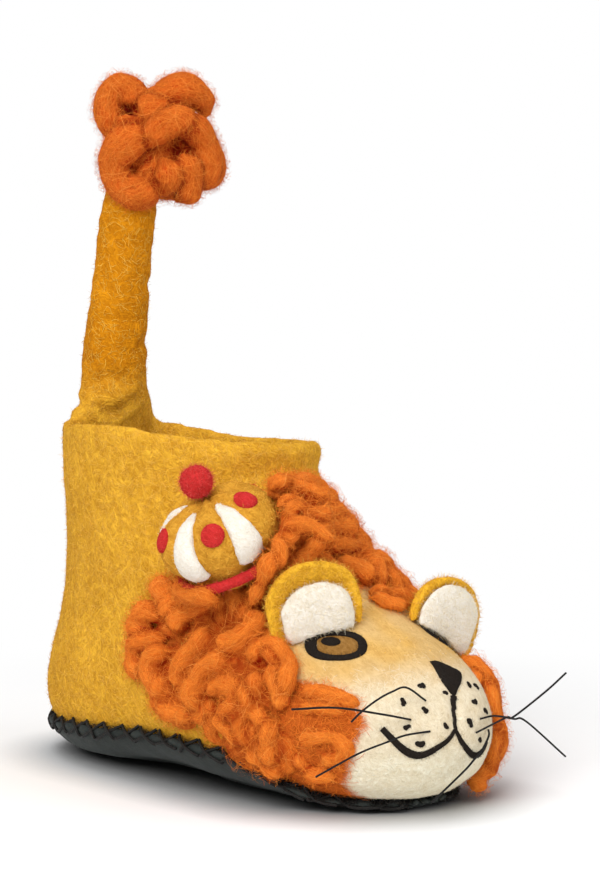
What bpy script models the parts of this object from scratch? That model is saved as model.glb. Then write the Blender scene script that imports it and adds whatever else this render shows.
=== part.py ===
# Felt lion slipper for a child's right foot: toe towards -Y, outer side towards -X, floor at z = 0

import math
from collections import namedtuple

import bmesh
import bpy
from mathutils import Matrix, Vector

MM = 0.001

# Fits and thicknesses, in millimetres like every size below
GAP = 0.3
FELT_WALL = 4.0
LEATHER = 2.0
INSOLE_THICK = 3.0
INSOLE_LIFT = 0.45

# Foot: places are (across, along, height), with along measured from the back of the heel
LENGTH = 165.5
RING_POINTS = 50
RING_LEVELS = 16

# Outer outlines of the felt upper, one row per height above the floor
Outline = namedtuple("Outline", "height back front widest lateral medial toe_power heel_power")
UPPER_OUTLINES = [
    Outline(2.3, 10.0, 152.5, 104.0, 27.5, 26.5, 2.3, 2.5),
    Outline(6.0, 4.5, 159.0, 104.0, 32.8, 31.8, 2.3, 2.5),
    Outline(12.0, 1.0, 163.8, 104.0, 36.3, 35.3, 2.35, 2.5),
    Outline(20.0, 0.0, 165.5, 103.0, 38.0, 36.5, 2.4, 2.5),
    Outline(30.0, 0.8, 163.0, 100.0, 37.5, 36.0, 2.4, 2.4),
    Outline(40.0, 2.8, 154.5, 95.0, 36.0, 34.5, 2.35, 2.3),
    Outline(50.0, 5.0, 139.5, 86.0, 34.5, 33.0, 2.3, 2.2),
    Outline(60.0, 6.6, 123.5, 75.0, 33.2, 32.3, 2.2, 2.15),
    Outline(70.0, 7.6, 111.5, 65.0, 32.4, 31.8, 2.15, 2.1),
    Outline(80.0, 8.0, 104.0, 58.0, 32.0, 31.5, 2.1, 2.1),
    Outline(90.0, 8.0, 100.5, 54.0, 31.8, 31.3, 2.1, 2.1),
    Outline(112.0, 7.5, 98.5, 53.0, 32.0, 31.5, 2.1, 2.1),
]
FOOT_BOTTOM = UPPER_OUTLINES[0].height
WAIST_PINCH = 3.5
WAIST_ALONG = 62.0
WAIST_SPREAD = 26.0
WAIST_TOP = 40.0
LATERAL_SHARE = 0.3
TOE_LEAN = 3.0

# Collar rim height at the front, on each side and at the back
RIM_FRONT = 101.0
RIM_LATERAL = 105.5
RIM_MEDIAL = 99.0
RIM_BACK = 104.5

# Underside: flat at the heel and the ball, raised at the arch, the toe and the back edge
HEEL_FLAT = (22.0, 46.0)
ARCH_TOP = (62.0, 78.0)
BALL_FLAT = (94.0, 122.0)
ARCH_RISE = 1.6
TOE_SPRING = 1.4
TOE_SPRING_END = 180.0
HEEL_SPRING = 2.5
HEEL_SPRING_END = -4.0
LIFT_FADE = (8.0, 46.0)

# Rounded sides of the sole: how far the side edge stands off the floor, and the half width under it
Roll = namedtuple("Roll", "along rise half")
SOLE_ROLL = [
    Roll(8.0, 0.4, 12.0), Roll(28.0, 1.8, 18.5), Roll(60.0, 3.9, 23.4), Roll(86.0, 5.3, 25.8), Roll(108.0, 4.8, 26.7),
    Roll(126.0, 3.2, 25.0), Roll(138.0, 1.4, 21.0), Roll(150.0, 0.2, 12.0), Roll(165.0, 0.0, 8.0),
]
ROLL_FROM = 0.5

# Turned-up leather edge: height above the floor at stations along the foot
Edge = namedtuple("Edge", "along height")
SOLE_EDGE = [
    Edge(0.0, 9.6), Edge(24.0, 10.4), Edge(46.0, 11.2), Edge(72.0, 10.0), Edge(98.0, 11.0),
    Edge(112.0, 10.2), Edge(124.0, 7.8), Edge(136.0, 5.4), Edge(150.0, 4.4), Edge(166.0, 4.4),
]
SOLE_STEPS = 3
SOLE_MIDDLE = 84.0
FLOOR_SCALES = (0.25, 0.55, 0.78)
UNDER_EDGE = 0.97

# Mane: rear and front border on the upper, from the top of the head (turn 0) down each side (turn 1)
ManeRow = namedtuple("ManeRow", "turn rear_angle rear_height front_angle front_height")
MANE_ROWS = [
    ManeRow(0.0, 0.0, 88.0, 0.0, 56.5),
    ManeRow(0.15, 35.0, 83.0, 22.0, 59.0),
    ManeRow(0.3, 70.0, 72.0, 42.0, 59.0),
    ManeRow(0.45, 94.0, 58.0, 56.0, 53.0),
    ManeRow(0.6, 104.0, 45.0, 59.0, 45.0),
    ManeRow(0.75, 101.0, 31.0, 61.0, 36.0),
    ManeRow(0.88, 93.0, 22.0, 62.0, 24.0),
    ManeRow(1.0, 84.0, 15.0, 63.0, 11.5),
]
MEDIAL_FORWARD = 12.0
MEDIAL_FULLNESS = 0.3
MEDIAL_FULL_TURNS = (0.3, 0.8)
MANE_THICK = 10.0
MANE_EDGE = 2.5
MANE_DOME_POWER = 4
MANE_END_POWER = 8
MANE_END_LEAST = 0.1
MANE_LUMP = 1.4
MANE_STRANDS = 11
MANE_SLANT = 3.0
MANE_COLUMNS = 46
MANE_BANDS = 7

# Ears: the middle of each ear's foot, the way it faces (degrees towards the medial side), its lean to the
# toe, its roll to the lateral side, and its white pad: the shift to the lateral side, the middle above the
# foot, half width and half height
Ear = namedtuple("Ear", "side across along height facing lean roll pad_shift pad_centre pad_width pad_height")
EARS = [
    Ear("right", -17.3, 127.2, 50.2, -26.0, 8.0, 11.0, -0.4, 6.2, 11.2, 9.0),
    Ear("left", 22.6, 134.4, 42.6, -4.0, 8.0, -22.0, 0.4, 8.8, 12.4, 10.4),
]
EAR_HALF_WIDTH = 14.2
EAR_HALF_HEIGHT = 12.0
EAR_CENTRE = 9.0
EAR_CUP = 3.0
EAR_THICK = 4.5
EAR_TAPER = 0.3
EAR_ROOM = 1.0
FOOT_POWER = 0.5
PAD_RIM = 1.0
PAD_BULGE = 5.0
LENS_SECTORS = 20
LENS_RINGS = 3

# Crown: the middle of its foot, its axis, and the dome, band and bobble on it
CROWN_PLACE = Vector((-27.3, 102.8, 70.8))
CROWN_AXIS = Vector((-0.47, -0.09, 0.88)).normalized()
CrownRow = namedtuple("CrownRow", "radius rise")
CROWN_ROWS = [
    CrownRow(13.8, -5.0),
    CrownRow(14.4, 0.0),
    CrownRow(17.4, 3.8),
    CrownRow(18.2, 8.0),
    CrownRow(16.9, 12.4),
    CrownRow(12.9, 16.2),
    CrownRow(6.6, 18.3),
]
CROWN_TOP = 18.8
CROWN_SECTORS = 22
BAND_RADIUS = 1.7
BAND_DROP = 2.0
BOBBLE_RADIUS = 5.1

# Tail: centre line and radii, from the root inside the collar to the tip
TailRow = namedtuple("TailRow", "along across height radius_across radius_along")
TAIL_ROWS = [
    TailRow(16.6, 3.0, 88.0, 6.0, 3.2),
    TailRow(17.2, 3.0, 96.0, 8.0, 4.2),
    TailRow(17.4, 3.0, 105.5, 9.0, 4.6),
    TailRow(15.0, 3.0, 106.2, 12.5, 8.4),
    TailRow(14.4, 3.0, 110.0, 11.4, 10.0),
    TailRow(14.4, 3.2, 118.0, 10.4, 10.4),
    TailRow(15.2, 3.6, 132.0, 9.9, 9.9),
    TailRow(17.0, 4.6, 150.0, 9.4, 9.4),
    TailRow(19.0, 6.0, 170.0, 9.0, 9.0),
    TailRow(20.0, 6.8, 178.0, 8.0, 8.0),
    TailRow(20.6, 7.2, 182.0, 5.0, 5.0),
]
TAIL_SIDES = 18

# Tuft: a lump of curls with a socket for the end of the tail
TUFT_PLACE = Vector((12.5, 25.5, 191.0))
TUFT_RADII = Vector((18.5, 18.0, 23.5))
TUFT_LUMP = 0.07
TUFT_SECTORS = 22
TUFT_RINGS = 13

# Whiskers: routes of the waxed threads, from the muzzle outwards
WHISKER_DIAMETER = 0.6
WHISKER_POINTS = 16
WhiskerPoint = namedtuple("WhiskerPoint", "step across along height")
WHISKERS = {
    "whisker_lateral_top": [
        (-8.2, 160.9, 33.2), (-15.6, 160.6, 37.7), (-20.9, 160.4, 37.2),
        (-26.8, 160.8, 35.9), (-32.8, 160.8, 33.5), (-37.5, 161.0, 31.0),
    ],
    "whisker_lateral_middle": [
        (-14.1, 160.8, 28.6), (-25.0, 160.0, 31.4), (-40.4, 158.0, 34.8), (-54.0, 155.0, 35.7),
    ],
    "whisker_lateral_low": [
        (-9.7, 164.0, 25.2), (-18.5, 163.0, 25.1), (-24.6, 162.0, 23.9),
        (-34.0, 160.0, 21.6), (-46.0, 156.0, 16.4),
    ],
    "whisker_medial_middle": [
        (9.6, 165.2, 26.4), (14.7, 166.0, 26.7), (22.9, 166.0, 24.8),
        (28.2, 166.0, 23.4), (47.9, 164.0, 10.3),
    ],
    "whisker_medial_top": [
        (7.0, 166.0, 22.9), (16.2, 169.0, 26.4), (19.5, 169.0, 26.3),
        (34.6, 168.0, 31.7), (45.5, 166.0, 35.4),
    ],
    "whisker_medial_low": [
        (13.2, 165.0, 22.9), (12.5, 165.8, 21.2), (8.7, 166.8, 17.9),
        (5.0, 167.2, 15.8), (0.7, 167.2, 13.0), (-11.5, 166.5, 6.0),
    ],
}

MUSTARD = (0.72, 0.36, 0.04)
ORANGE = (0.56, 0.13, 0.016)
CREAM = (0.74, 0.66, 0.50)
RED = (0.58, 0.04, 0.035)
SUEDE = (0.03, 0.035, 0.033)
OATMEAL = (0.62, 0.50, 0.34)
BLACK = (0.012, 0.01, 0.01)
FELT_ROUGH = 0.95
SUEDE_ROUGH = 0.85
THREAD_ROUGH = 0.5

ANGLES = [2 * math.pi * i / RING_POINTS for i in range(RING_POINTS)]

for old in list(bpy.data.objects):
    bpy.data.objects.remove(old)


def curve_through(rows, key, position):
    """Row values at a position, on a smooth curve through the rows."""
    places = [getattr(row, key) for row in rows]
    position = min(max(position, places[0]), places[-1])
    last = len(rows) - 2
    index = next((i for i in range(last) if position < places[i + 1]), last)
    step = places[index + 1] - places[index]
    t = (position - places[index]) / step

    def slope(i, column):
        low = max(i - 1, 0)
        high = min(i + 1, len(rows) - 1)
        return (rows[high][column] - rows[low][column]) / (places[high] - places[low])

    values = []
    for column in range(len(rows[0])):
        start = rows[index][column] * (2 * t**3 - 3 * t**2 + 1)
        leave = slope(index, column) * step * (t**3 - 2 * t**2 + t)
        end = rows[index + 1][column] * (3 * t**2 - 2 * t**3)
        arrive = slope(index + 1, column) * step * (t**3 - t**2)
        values.append(start + leave + end + arrive)
    return type(rows[0])(*values)


def ease(low, high, value):
    t = min(max((value - low) / (high - low), 0.0), 1.0)
    return t * t * (3 - 2 * t)


def signed_power(value, power):
    return math.copysign(abs(value) ** power, value)


def foot_point(angle, height):
    """Outer face of the upper; angle 0 is the toe and a quarter turn the medial side."""
    row = curve_through(UPPER_OUTLINES, "height", height)
    forward = math.cos(angle)
    sideways = math.sin(angle)
    reach = row.front - row.widest if forward > 0 else row.widest - row.back
    power = row.toe_power if forward > 0 else row.heel_power
    along = row.widest + reach * signed_power(forward, 2 / power)
    half = row.medial if sideways > 0 else row.lateral
    across = half * signed_power(sideways, 2 / power)
    low = 1 - ease(0.0, WAIST_TOP, height)
    pinch = WAIST_PINCH * low * math.exp(-(((along - WAIST_ALONG) / WAIST_SPREAD) ** 2))
    across -= pinch * max(sideways, LATERAL_SHARE * sideways)
    across += TOE_LEAN * ease(WAIST_ALONG, LENGTH, along)
    return Vector((across, along, height))


def face_normal(angle, height):
    turn = 0.01
    rise = 0.2
    around = foot_point(angle + turn, height) - foot_point(angle - turn, height)
    upward = foot_point(angle, height + rise) - foot_point(angle, max(height - rise, FOOT_BOTTOM))
    return upward.cross(around).normalized()


def offset_point(angle, height, distance):
    return lifted(foot_point(angle, height) + face_normal(angle, height) * distance)


def rim_height(angle):
    front = max(math.cos(angle), 0.0) ** 2
    back = max(-math.cos(angle), 0.0) ** 2
    medial = max(math.sin(angle), 0.0) ** 2
    lateral = max(-math.sin(angle), 0.0) ** 2
    return front * RIM_FRONT + back * RIM_BACK + medial * RIM_MEDIAL + lateral * RIM_LATERAL


def lifted(point):
    """Bends the lower part up at the arch, the toe, the back of the heel and the sides."""
    toe = TOE_SPRING * ease(BALL_FLAT[1], TOE_SPRING_END, point.y)
    heel = HEEL_SPRING * (1 - ease(HEEL_SPRING_END, HEEL_FLAT[0], point.y))
    behind_ball = 1 - ease(ARCH_TOP[1], BALL_FLAT[0], point.y)
    arch = ARCH_RISE * ease(HEEL_FLAT[1], ARCH_TOP[0], point.y) * behind_ball
    side = curve_through(SOLE_ROLL, "along", point.y)
    roll = side.rise * ease(ROLL_FROM, 1.0, abs(point.x) / side.half)
    fade = 1 - ease(LIFT_FADE[0], LIFT_FADE[1], point.z)
    return Vector((point.x, point.y, point.z + (toe + heel + arch + roll) * fade))


def in_metres(point):
    return Vector((point.x * MM, -point.y * MM, point.z * MM))


def make_object(name, bm, colour, roughness):
    bmesh.ops.recalc_face_normals(bm, faces=bm.faces)
    mesh = bpy.data.meshes.new(name)
    bm.to_mesh(mesh)
    bm.free()
    for polygon in mesh.polygons:
        polygon.use_smooth = True
    piece = bpy.data.objects.new(name, mesh)
    bpy.context.collection.objects.link(piece)
    paint(piece, colour, roughness)
    return piece


def paint(piece, colour, roughness):
    material = bpy.data.materials.new(piece.name)
    material.use_nodes = True
    shader = material.node_tree.nodes["Principled BSDF"]
    shader.inputs["Base Color"].default_value = (*colour, 1.0)
    shader.inputs["Roughness"].default_value = roughness
    shader.inputs["Metallic"].default_value = 0.0
    piece.data.materials.append(material)


def skin(rings, close_ends=True):
    """Quads between closed rings of points, and a fan over each end."""
    bm = bmesh.new()
    grid = [[bm.verts.new(in_metres(point)) for point in ring] for ring in rings]
    count = len(rings[0])
    for lower, upper in zip(grid, grid[1:]):
        for i in range(count):
            j = (i + 1) % count
            bm.faces.new((lower[i], lower[j], upper[j], upper[i]))
    if close_ends:
        for ring in (grid[0], grid[-1]):
            middle = bm.verts.new(sum((vert.co for vert in ring), Vector()) / count)
            for i in range(count):
                bm.faces.new((ring[i], ring[(i + 1) % count], middle))
    return bm


def cut(piece, cutter):
    cutter.hide_render = True
    cutter.display_type = "WIRE"
    boolean = piece.modifiers.new("clear of " + cutter.name, "BOOLEAN")
    boolean.operation = "DIFFERENCE"
    boolean.solver = "EXACT"
    boolean.object = cutter


def foot_rings(distance):
    rings = []
    for level in range(RING_LEVELS + 1):
        share = level / RING_LEVELS
        heights = [FOOT_BOTTOM + (rim_height(angle) - FOOT_BOTTOM) * share for angle in ANGLES]
        rings.append([offset_point(angle, height, distance) for angle, height in zip(ANGLES, heights)])
    return rings


def make_upper():
    upper = make_object("upper", skin(foot_rings(0.0), False), MUSTARD, FELT_ROUGH)
    wall = upper.modifiers.new("felt wall", "SOLIDIFY")
    wall.thickness = FELT_WALL * MM
    wall.offset = -1
    wall.use_even_offset = True
    wall.use_rim = True


def make_foot_form():
    """The upper's outer face as a filled form, a gap larger, to cut what sits on it."""
    return make_object("foot_form", skin(foot_rings(GAP)), MUSTARD, FELT_ROUGH)


def edge_ring(share, distance):
    """Ring of the turned-up leather edge; share 0 is its foot and 1 its top."""
    ring = []
    for angle in ANGLES:
        top = curve_through(SOLE_EDGE, "along", foot_point(angle, FOOT_BOTTOM).y).height
        ring.append(offset_point(angle, FOOT_BOTTOM + (top - FOOT_BOTTOM) * share, distance))
    return ring


def floor_ring(scale, height, distance=0.0):
    """Flat ring: the upper's lowest outline, set in or out and scaled about the middle of the foot."""
    middle = Vector((0.0, SOLE_MIDDLE, height))
    ring = []
    for angle in ANGLES:
        normal = face_normal(angle, FOOT_BOTTOM)
        normal.z = 0
        edge = foot_point(angle, FOOT_BOTTOM) + normal.normalized() * distance
        edge.z = height
        ring.append(lifted(middle.lerp(edge, scale)))
    return ring


def make_outsole():
    shares = [step / SOLE_STEPS for step in range(SOLE_STEPS + 1)]
    scales = FLOOR_SCALES + (UNDER_EDGE,)
    under = [floor_ring(scale, 0.0) for scale in scales]
    outside = [edge_ring(share, GAP + LEATHER) for share in shares]
    inside = [edge_ring(share, GAP) for share in reversed(shares)]
    over = [floor_ring(scale, LEATHER) for scale in reversed(scales)]
    make_object("outsole", skin(under + outside + inside + over), SUEDE, SUEDE_ROUGH)


def make_insole():
    inset = -(FELT_WALL + GAP)
    bottom = LEATHER + INSOLE_LIFT
    top = bottom + INSOLE_THICK
    rings = [floor_ring(scale, bottom) for scale in FLOOR_SCALES] + [floor_ring(1.0, bottom, inset)]
    rings += [floor_ring(1.0, top, inset)] + [floor_ring(scale, top) for scale in reversed(FLOOR_SCALES)]
    make_object("insole", skin(rings), OATMEAL, FELT_ROUGH)


def mane_point(turn, band, distance):
    """Point over the mane's patch of the upper; turn -1 is the lateral foot of it, band 0 the rear border."""
    row = curve_through(MANE_ROWS, "turn", abs(turn))
    front_angle = row.front_angle - (MEDIAL_FORWARD * turn if turn > 0 else 0)
    angle = math.radians(row.rear_angle + (front_angle - row.rear_angle) * band)
    height = row.rear_height + (row.front_height - row.rear_height) * band
    return offset_point(math.copysign(angle, turn), height, distance)


def make_mane():
    """Closed band: out over the lumpy strands and back along the upper, column by column."""
    rings = []
    bands = [band / MANE_BANDS for band in range(MANE_BANDS + 1)]
    for column in range(MANE_COLUMNS + 1):
        turn = 2 * column / MANE_COLUMNS - 1
        end = math.sqrt(max(1 - abs(turn) ** MANE_END_POWER, MANE_END_LEAST))
        full = 1 + MEDIAL_FULLNESS * ease(*MEDIAL_FULL_TURNS, turn)
        ring = [mane_point(turn, band, 2 * GAP) for band in bands]
        for band in reversed(bands):
            dome = math.sqrt(1 - abs(2 * band - 1) ** MANE_DOME_POWER)
            lump = MANE_LUMP * math.sin(math.pi * MANE_STRANDS * turn + MANE_SLANT * band)
            proud = (MANE_THICK - MANE_EDGE + lump) * dome * end * full
            ring.append(mane_point(turn, band, MANE_EDGE + proud))
        rings.append(ring)
    return make_object("mane", skin(rings), ORANGE, FELT_ROUGH)


def ear_frame(ear):
    """Axes of an ear at its foot: width, up along the flap, and the way it faces."""
    facing = math.radians(ear.facing)
    lean = math.radians(ear.lean)
    level = Vector((math.sin(facing), math.cos(facing), 0))
    face = level * math.cos(lean) - Vector((0, 0, math.sin(lean)))
    upright = Vector((0, 0, math.cos(lean))) + level * math.sin(lean)
    lateral = upright.cross(face)
    roll = math.radians(ear.roll)
    up = upright * math.cos(roll) + lateral * math.sin(roll)
    wide = lateral * math.cos(roll) - upright * math.sin(roll)
    return Vector((ear.across, ear.along, ear.height)), wide, up, face


def lens_rings(ear, half_width, half_height, middle, back, front):
    """Rings of a pad, squared at its foot, from the middle of its back over the rim to its front."""
    foot, wide, up, face = ear_frame(ear)
    shares = [(ring + 1) / LENS_RINGS for ring in range(LENS_RINGS)]
    depths = [(share, back) for share in shares] + [(share, front) for share in reversed(shares)]
    rings = []
    for share, depth in depths:
        ring = []
        for sector in range(LENS_SECTORS):
            angle = 2 * math.pi * sector / LENS_SECTORS
            power = 1.0 if math.sin(angle) > 0 else FOOT_POWER
            u = middle[0] + half_width * share * signed_power(math.cos(angle), power)
            v = middle[1] + half_height * share * signed_power(math.sin(angle), power)
            ring.append(foot + wide * u + up * v + face * depth(u, v))
        rings.append(ring)
    return rings


def cup(u, v):
    """Front face of an ear: its rim curls forward."""
    return EAR_CUP * ((u / EAR_HALF_WIDTH) ** 2 + ((v - EAR_CENTRE) / EAR_HALF_HEIGHT) ** 2)


def make_ear(ear, mane, foot_form):
    def flap_back(u, v):
        return cup(u, v) - EAR_THICK + EAR_THICK * EAR_TAPER * cup(u, v) / EAR_CUP

    rings = lens_rings(ear, EAR_HALF_WIDTH, EAR_HALF_HEIGHT, (0.0, EAR_CENTRE), flap_back, cup)
    cut(make_object("ear_" + ear.side, skin(rings), MUSTARD, FELT_ROUGH), foot_form)

    def room_back(u, v):
        return flap_back(u, v) - GAP

    def room_front(u, v):
        return cup(u, v) + GAP

    half_width = EAR_HALF_WIDTH + EAR_ROOM
    rings = lens_rings(ear, half_width, EAR_HALF_HEIGHT + EAR_ROOM, (0.0, EAR_CENTRE), room_back, room_front)
    cut(mane, make_object("ear_room_" + ear.side, skin(rings), MUSTARD, FELT_ROUGH))


def make_ear_pad(ear, foot_form):
    def pad_back(u, v):
        return cup(u, v) + 2 * GAP

    def pad_front(u, v):
        sideways = (u - ear.pad_shift) / ear.pad_width
        upward = (v - ear.pad_centre) / ear.pad_height
        bulge = math.sqrt(max(1 - sideways**2 - upward**2, 0.0))
        return pad_back(u, v) + PAD_RIM + (PAD_BULGE - PAD_RIM) * bulge

    middle = (ear.pad_shift, ear.pad_centre)
    rings = lens_rings(ear, ear.pad_width, ear.pad_height, middle, pad_back, pad_front)
    cut(make_object("ear_pad_" + ear.side, skin(rings), CREAM, FELT_ROUGH), foot_form)


def crown_rings(extra):
    """Rings round the crown's axis from below its foot to near its top; extra makes it larger all round."""
    side = CROWN_AXIS.cross(Vector((0, 0, 1))).normalized()
    other = CROWN_AXIS.cross(side)
    rings = []
    for row in CROWN_ROWS:
        ring = []
        for sector in range(CROWN_SECTORS):
            angle = 2 * math.pi * sector / CROWN_SECTORS
            out = side * math.cos(angle) + other * math.sin(angle)
            ring.append(CROWN_PLACE + CROWN_AXIS * row.rise + out * (row.radius + extra))
        rings.append(ring)
    return rings


def make_crown(mane, foot_form):
    cut(make_object("crown_dome", skin(crown_rings(0.0)), MUSTARD, FELT_ROUGH), foot_form)
    seat = make_object("crown_seat", skin(crown_rings(2 * BAND_RADIUS + 2 * GAP)), RED, FELT_ROUGH)
    cut(mane, seat)

    bm = bmesh.new()
    ring = bmesh.ops.create_circle(bm, radius=BAND_RADIUS * MM, segments=8)
    reach = CROWN_ROWS[1].radius + GAP + BAND_RADIUS
    turned = Matrix.Translation((reach * MM, 0, 0)) @ Matrix.Rotation(math.pi / 2, 4, "X")
    bmesh.ops.transform(bm, matrix=turned, verts=ring["verts"])
    bmesh.ops.spin(bm, geom=bm.verts[:] + bm.edges[:], cent=(0, 0, 0), axis=(0, 0, 1), angle=2 * math.pi,
                   steps=CROWN_SECTORS, use_merge=True)
    band = make_object("crown_band", bm, RED, FELT_ROUGH)
    band.rotation_euler = in_metres(CROWN_AXIS).to_track_quat("Z", "Y").to_euler()
    band.location = in_metres(CROWN_PLACE - CROWN_AXIS * BAND_DROP)
    cut(band, foot_form)

    bm = bmesh.new()
    bmesh.ops.create_icosphere(bm, subdivisions=2, radius=BOBBLE_RADIUS * MM)
    bobble = make_object("crown_bobble", bm, RED, FELT_ROUGH)
    bobble.location = in_metres(CROWN_PLACE + CROWN_AXIS * (CROWN_TOP + BOBBLE_RADIUS + GAP))


def tail_rings(extra):
    rings = []
    for row in TAIL_ROWS:
        ring = []
        for side in range(TAIL_SIDES):
            angle = 2 * math.pi * side / TAIL_SIDES
            across = row.across + (row.radius_across + extra) * math.cos(angle)
            along = row.along + (row.radius_along + extra) * math.sin(angle)
            ring.append(Vector((across, along, row.height + extra * (row is TAIL_ROWS[-1]))))
        rings.append(ring)
    return rings


def make_tail():
    make_object("tail", skin(tail_rings(0.0)), MUSTARD, FELT_ROUGH)


def make_tuft():
    rings = []
    for level in range(1, TUFT_RINGS):
        tilt = math.pi * level / TUFT_RINGS
        ring = []
        for sector in range(TUFT_SECTORS):
            turn = 2 * math.pi * sector / TUFT_SECTORS
            lump = 1 + TUFT_LUMP * math.sin(4 * turn + 2 * tilt) * math.sin(4 * tilt)
            way = Vector((math.sin(tilt) * math.cos(turn), math.sin(tilt) * math.sin(turn), -math.cos(tilt)))
            ring.append(TUFT_PLACE + way * TUFT_RADII * lump)
        rings.append(ring)
    tuft = make_object("tail_tuft", skin(rings), ORANGE, FELT_ROUGH)
    cut(tuft, make_object("tail_socket", skin(tail_rings(GAP)), MUSTARD, FELT_ROUGH))


def make_whisker(name, route):
    """Thin tube on a smooth curve through the route's points."""
    rows = [WhiskerPoint(float(step), *place) for step, place in enumerate(route)]
    curve = bpy.data.curves.new(name, "CURVE")
    curve.dimensions = "3D"
    curve.bevel_depth = WHISKER_DIAMETER / 2 * MM
    curve.bevel_resolution = 2
    curve.use_fill_caps = True
    spline = curve.splines.new("POLY")
    spline.points.add(WHISKER_POINTS - 1)
    for i, point in enumerate(spline.points):
        row = curve_through(rows, "step", (len(rows) - 1) * i / (WHISKER_POINTS - 1))
        point.co = (*in_metres(Vector((row.across, row.along, row.height))), 1.0)
    spline.use_smooth = True
    whisker = bpy.data.objects.new(name, curve)
    bpy.context.collection.objects.link(whisker)
    paint(whisker, BLACK, THREAD_ROUGH)


def centre_on_floor():
    """Moves everything under one empty, so that the origin is below the middle of the slipper."""
    bpy.context.view_layer.update()
    depsgraph = bpy.context.evaluated_depsgraph_get()
    solids = [piece for piece in bpy.data.objects if piece.type == "MESH" and not piece.hide_render]
    points = []
    for piece in solids:
        points += [piece.matrix_world @ vert.co for vert in piece.evaluated_get(depsgraph).data.vertices]
    middle = [(min(p[axis] for p in points) + max(p[axis] for p in points)) / 2 for axis in range(2)]
    holder = bpy.data.objects.new("slipper", None)
    bpy.context.collection.objects.link(holder)
    for piece in bpy.data.objects:
        if piece is not holder:
            piece.parent = holder
    holder.location = (-middle[0], -middle[1], 0)


make_upper()
make_outsole()
make_insole()
form = make_foot_form()
mane = make_mane()
for ear in EARS:
    make_ear(ear, mane, form)
    make_ear_pad(ear, form)
make_crown(mane, form)
make_tail()
make_tuft()
for name, route in WHISKERS.items():
    make_whisker(name, route)
centre_on_floor()
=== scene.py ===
import math

import bmesh
import bpy
import numpy as np
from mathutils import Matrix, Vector, noise
from mathutils.bvhtree import BVHTree
from mathutils.kdtree import KDTree


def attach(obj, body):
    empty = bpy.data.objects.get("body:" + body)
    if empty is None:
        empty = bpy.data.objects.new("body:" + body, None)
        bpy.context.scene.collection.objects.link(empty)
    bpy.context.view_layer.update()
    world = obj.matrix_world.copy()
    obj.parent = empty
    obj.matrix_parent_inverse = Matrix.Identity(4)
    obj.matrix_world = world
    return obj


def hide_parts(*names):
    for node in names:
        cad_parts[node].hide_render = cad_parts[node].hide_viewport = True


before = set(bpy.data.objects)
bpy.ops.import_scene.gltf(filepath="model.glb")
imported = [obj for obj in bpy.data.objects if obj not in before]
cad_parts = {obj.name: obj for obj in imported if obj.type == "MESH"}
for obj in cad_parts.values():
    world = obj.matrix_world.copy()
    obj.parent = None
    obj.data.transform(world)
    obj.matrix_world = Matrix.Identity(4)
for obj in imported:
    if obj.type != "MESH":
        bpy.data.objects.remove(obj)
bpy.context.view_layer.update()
scene = bpy.context.scene
scene.view_settings.view_transform = "Standard"

mm = 0.001
shoe = {"shiftAcross": -0.614, "shiftAlong": 82.14, "body": "root"}  # heel-back sizes to the row's frame


def place(across, along, height):  # sizes in mm, along counted from the back of the heel
    return Vector(((across + shoe["shiftAcross"]) * mm, (shoe["shiftAlong"] - along) * mm, height * mm))


def places(rows):
    return np.array([place(*row) for row in rows])


def shoeSizes(points):  # back to mm: across, along, height
    return np.column_stack((points[:, 0] / mm - shoe["shiftAcross"],
                            shoe["shiftAlong"] - points[:, 1] / mm, points[:, 2] / mm))


def ease(low, high, value):
    t = np.clip((value - low) / (high - low), 0.0, 1.0)
    return t * t * (3 - 2 * t)


def unit(vectors):
    return vectors / np.maximum(np.linalg.norm(vectors, axis=-1, keepdims=True), 1e-12)


def smoothRoute(points, count):  # smooth curve through given points
    points = np.array(points, float)
    last = len(points) - 1
    slopes = np.array([points[min(i + 1, last)] - points[max(i - 1, 0)] for i in range(last + 1)])
    slopes[1:-1] /= 2
    spots = np.linspace(0, last, count)
    index = np.minimum(spots.astype(int), last - 1)
    t = (spots - index)[:, None]
    start = points[index] * (2 * t**3 - 3 * t**2 + 1) + slopes[index] * (t**3 - 2 * t**2 + t)
    return start + points[index + 1] * (3 * t**2 - 2 * t**3) + slopes[index + 1] * (t**3 - t**2)


def runAlong(points):  # distance from the start at each point
    return np.concatenate(([0], np.cumsum(np.linalg.norm(np.diff(points, axis=0), axis=1))))


# camera: the photo's own standpoint, turned to the one slipper
view = {"eye": (-0.5462, -0.5859, 0.163), "aim": (0.0074, -0.0117, 0.1011), "lens": 110.0}
cameraData = bpy.data.cameras.new("camera")
cameraData.lens = view["lens"]
camera = bpy.data.objects.new("camera", cameraData)
camera.location = view["eye"]
camera.rotation_euler = (Vector(view["aim"]) - Vector(view["eye"])).to_track_quat("-Z", "Y").to_euler()
scene.collection.objects.link(camera)
scene.camera = camera


def addNode(tree, kind, values=None, **settings):
    node = tree.nodes.new(kind)
    for key, value in settings.items():
        setattr(node, key, value)
    for key, value in (values or {}).items():
        node.inputs[key].default_value = value
    return node


def feed(tree, source, target):  # link a socket, or set a plain value
    if isinstance(source, bpy.types.NodeSocket):
        tree.links.new(source, target)
    else:
        target.default_value = source


def mixColours(tree, blend, factor, first, second):
    node = addNode(tree, "ShaderNodeMix", data_type="RGBA", blend_type=blend)
    feed(tree, factor, node.inputs[0])
    feed(tree, first, node.inputs[6])
    feed(tree, second, node.inputs[7])
    return node.outputs[2]


def calculate(tree, operation, first, second=0.0, third=0.0):
    node = addNode(tree, "ShaderNodeMath", operation=operation)
    for socket, value in zip(node.inputs, (first, second, third)):
        feed(tree, value, socket)
    return node.outputs[0]


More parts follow.
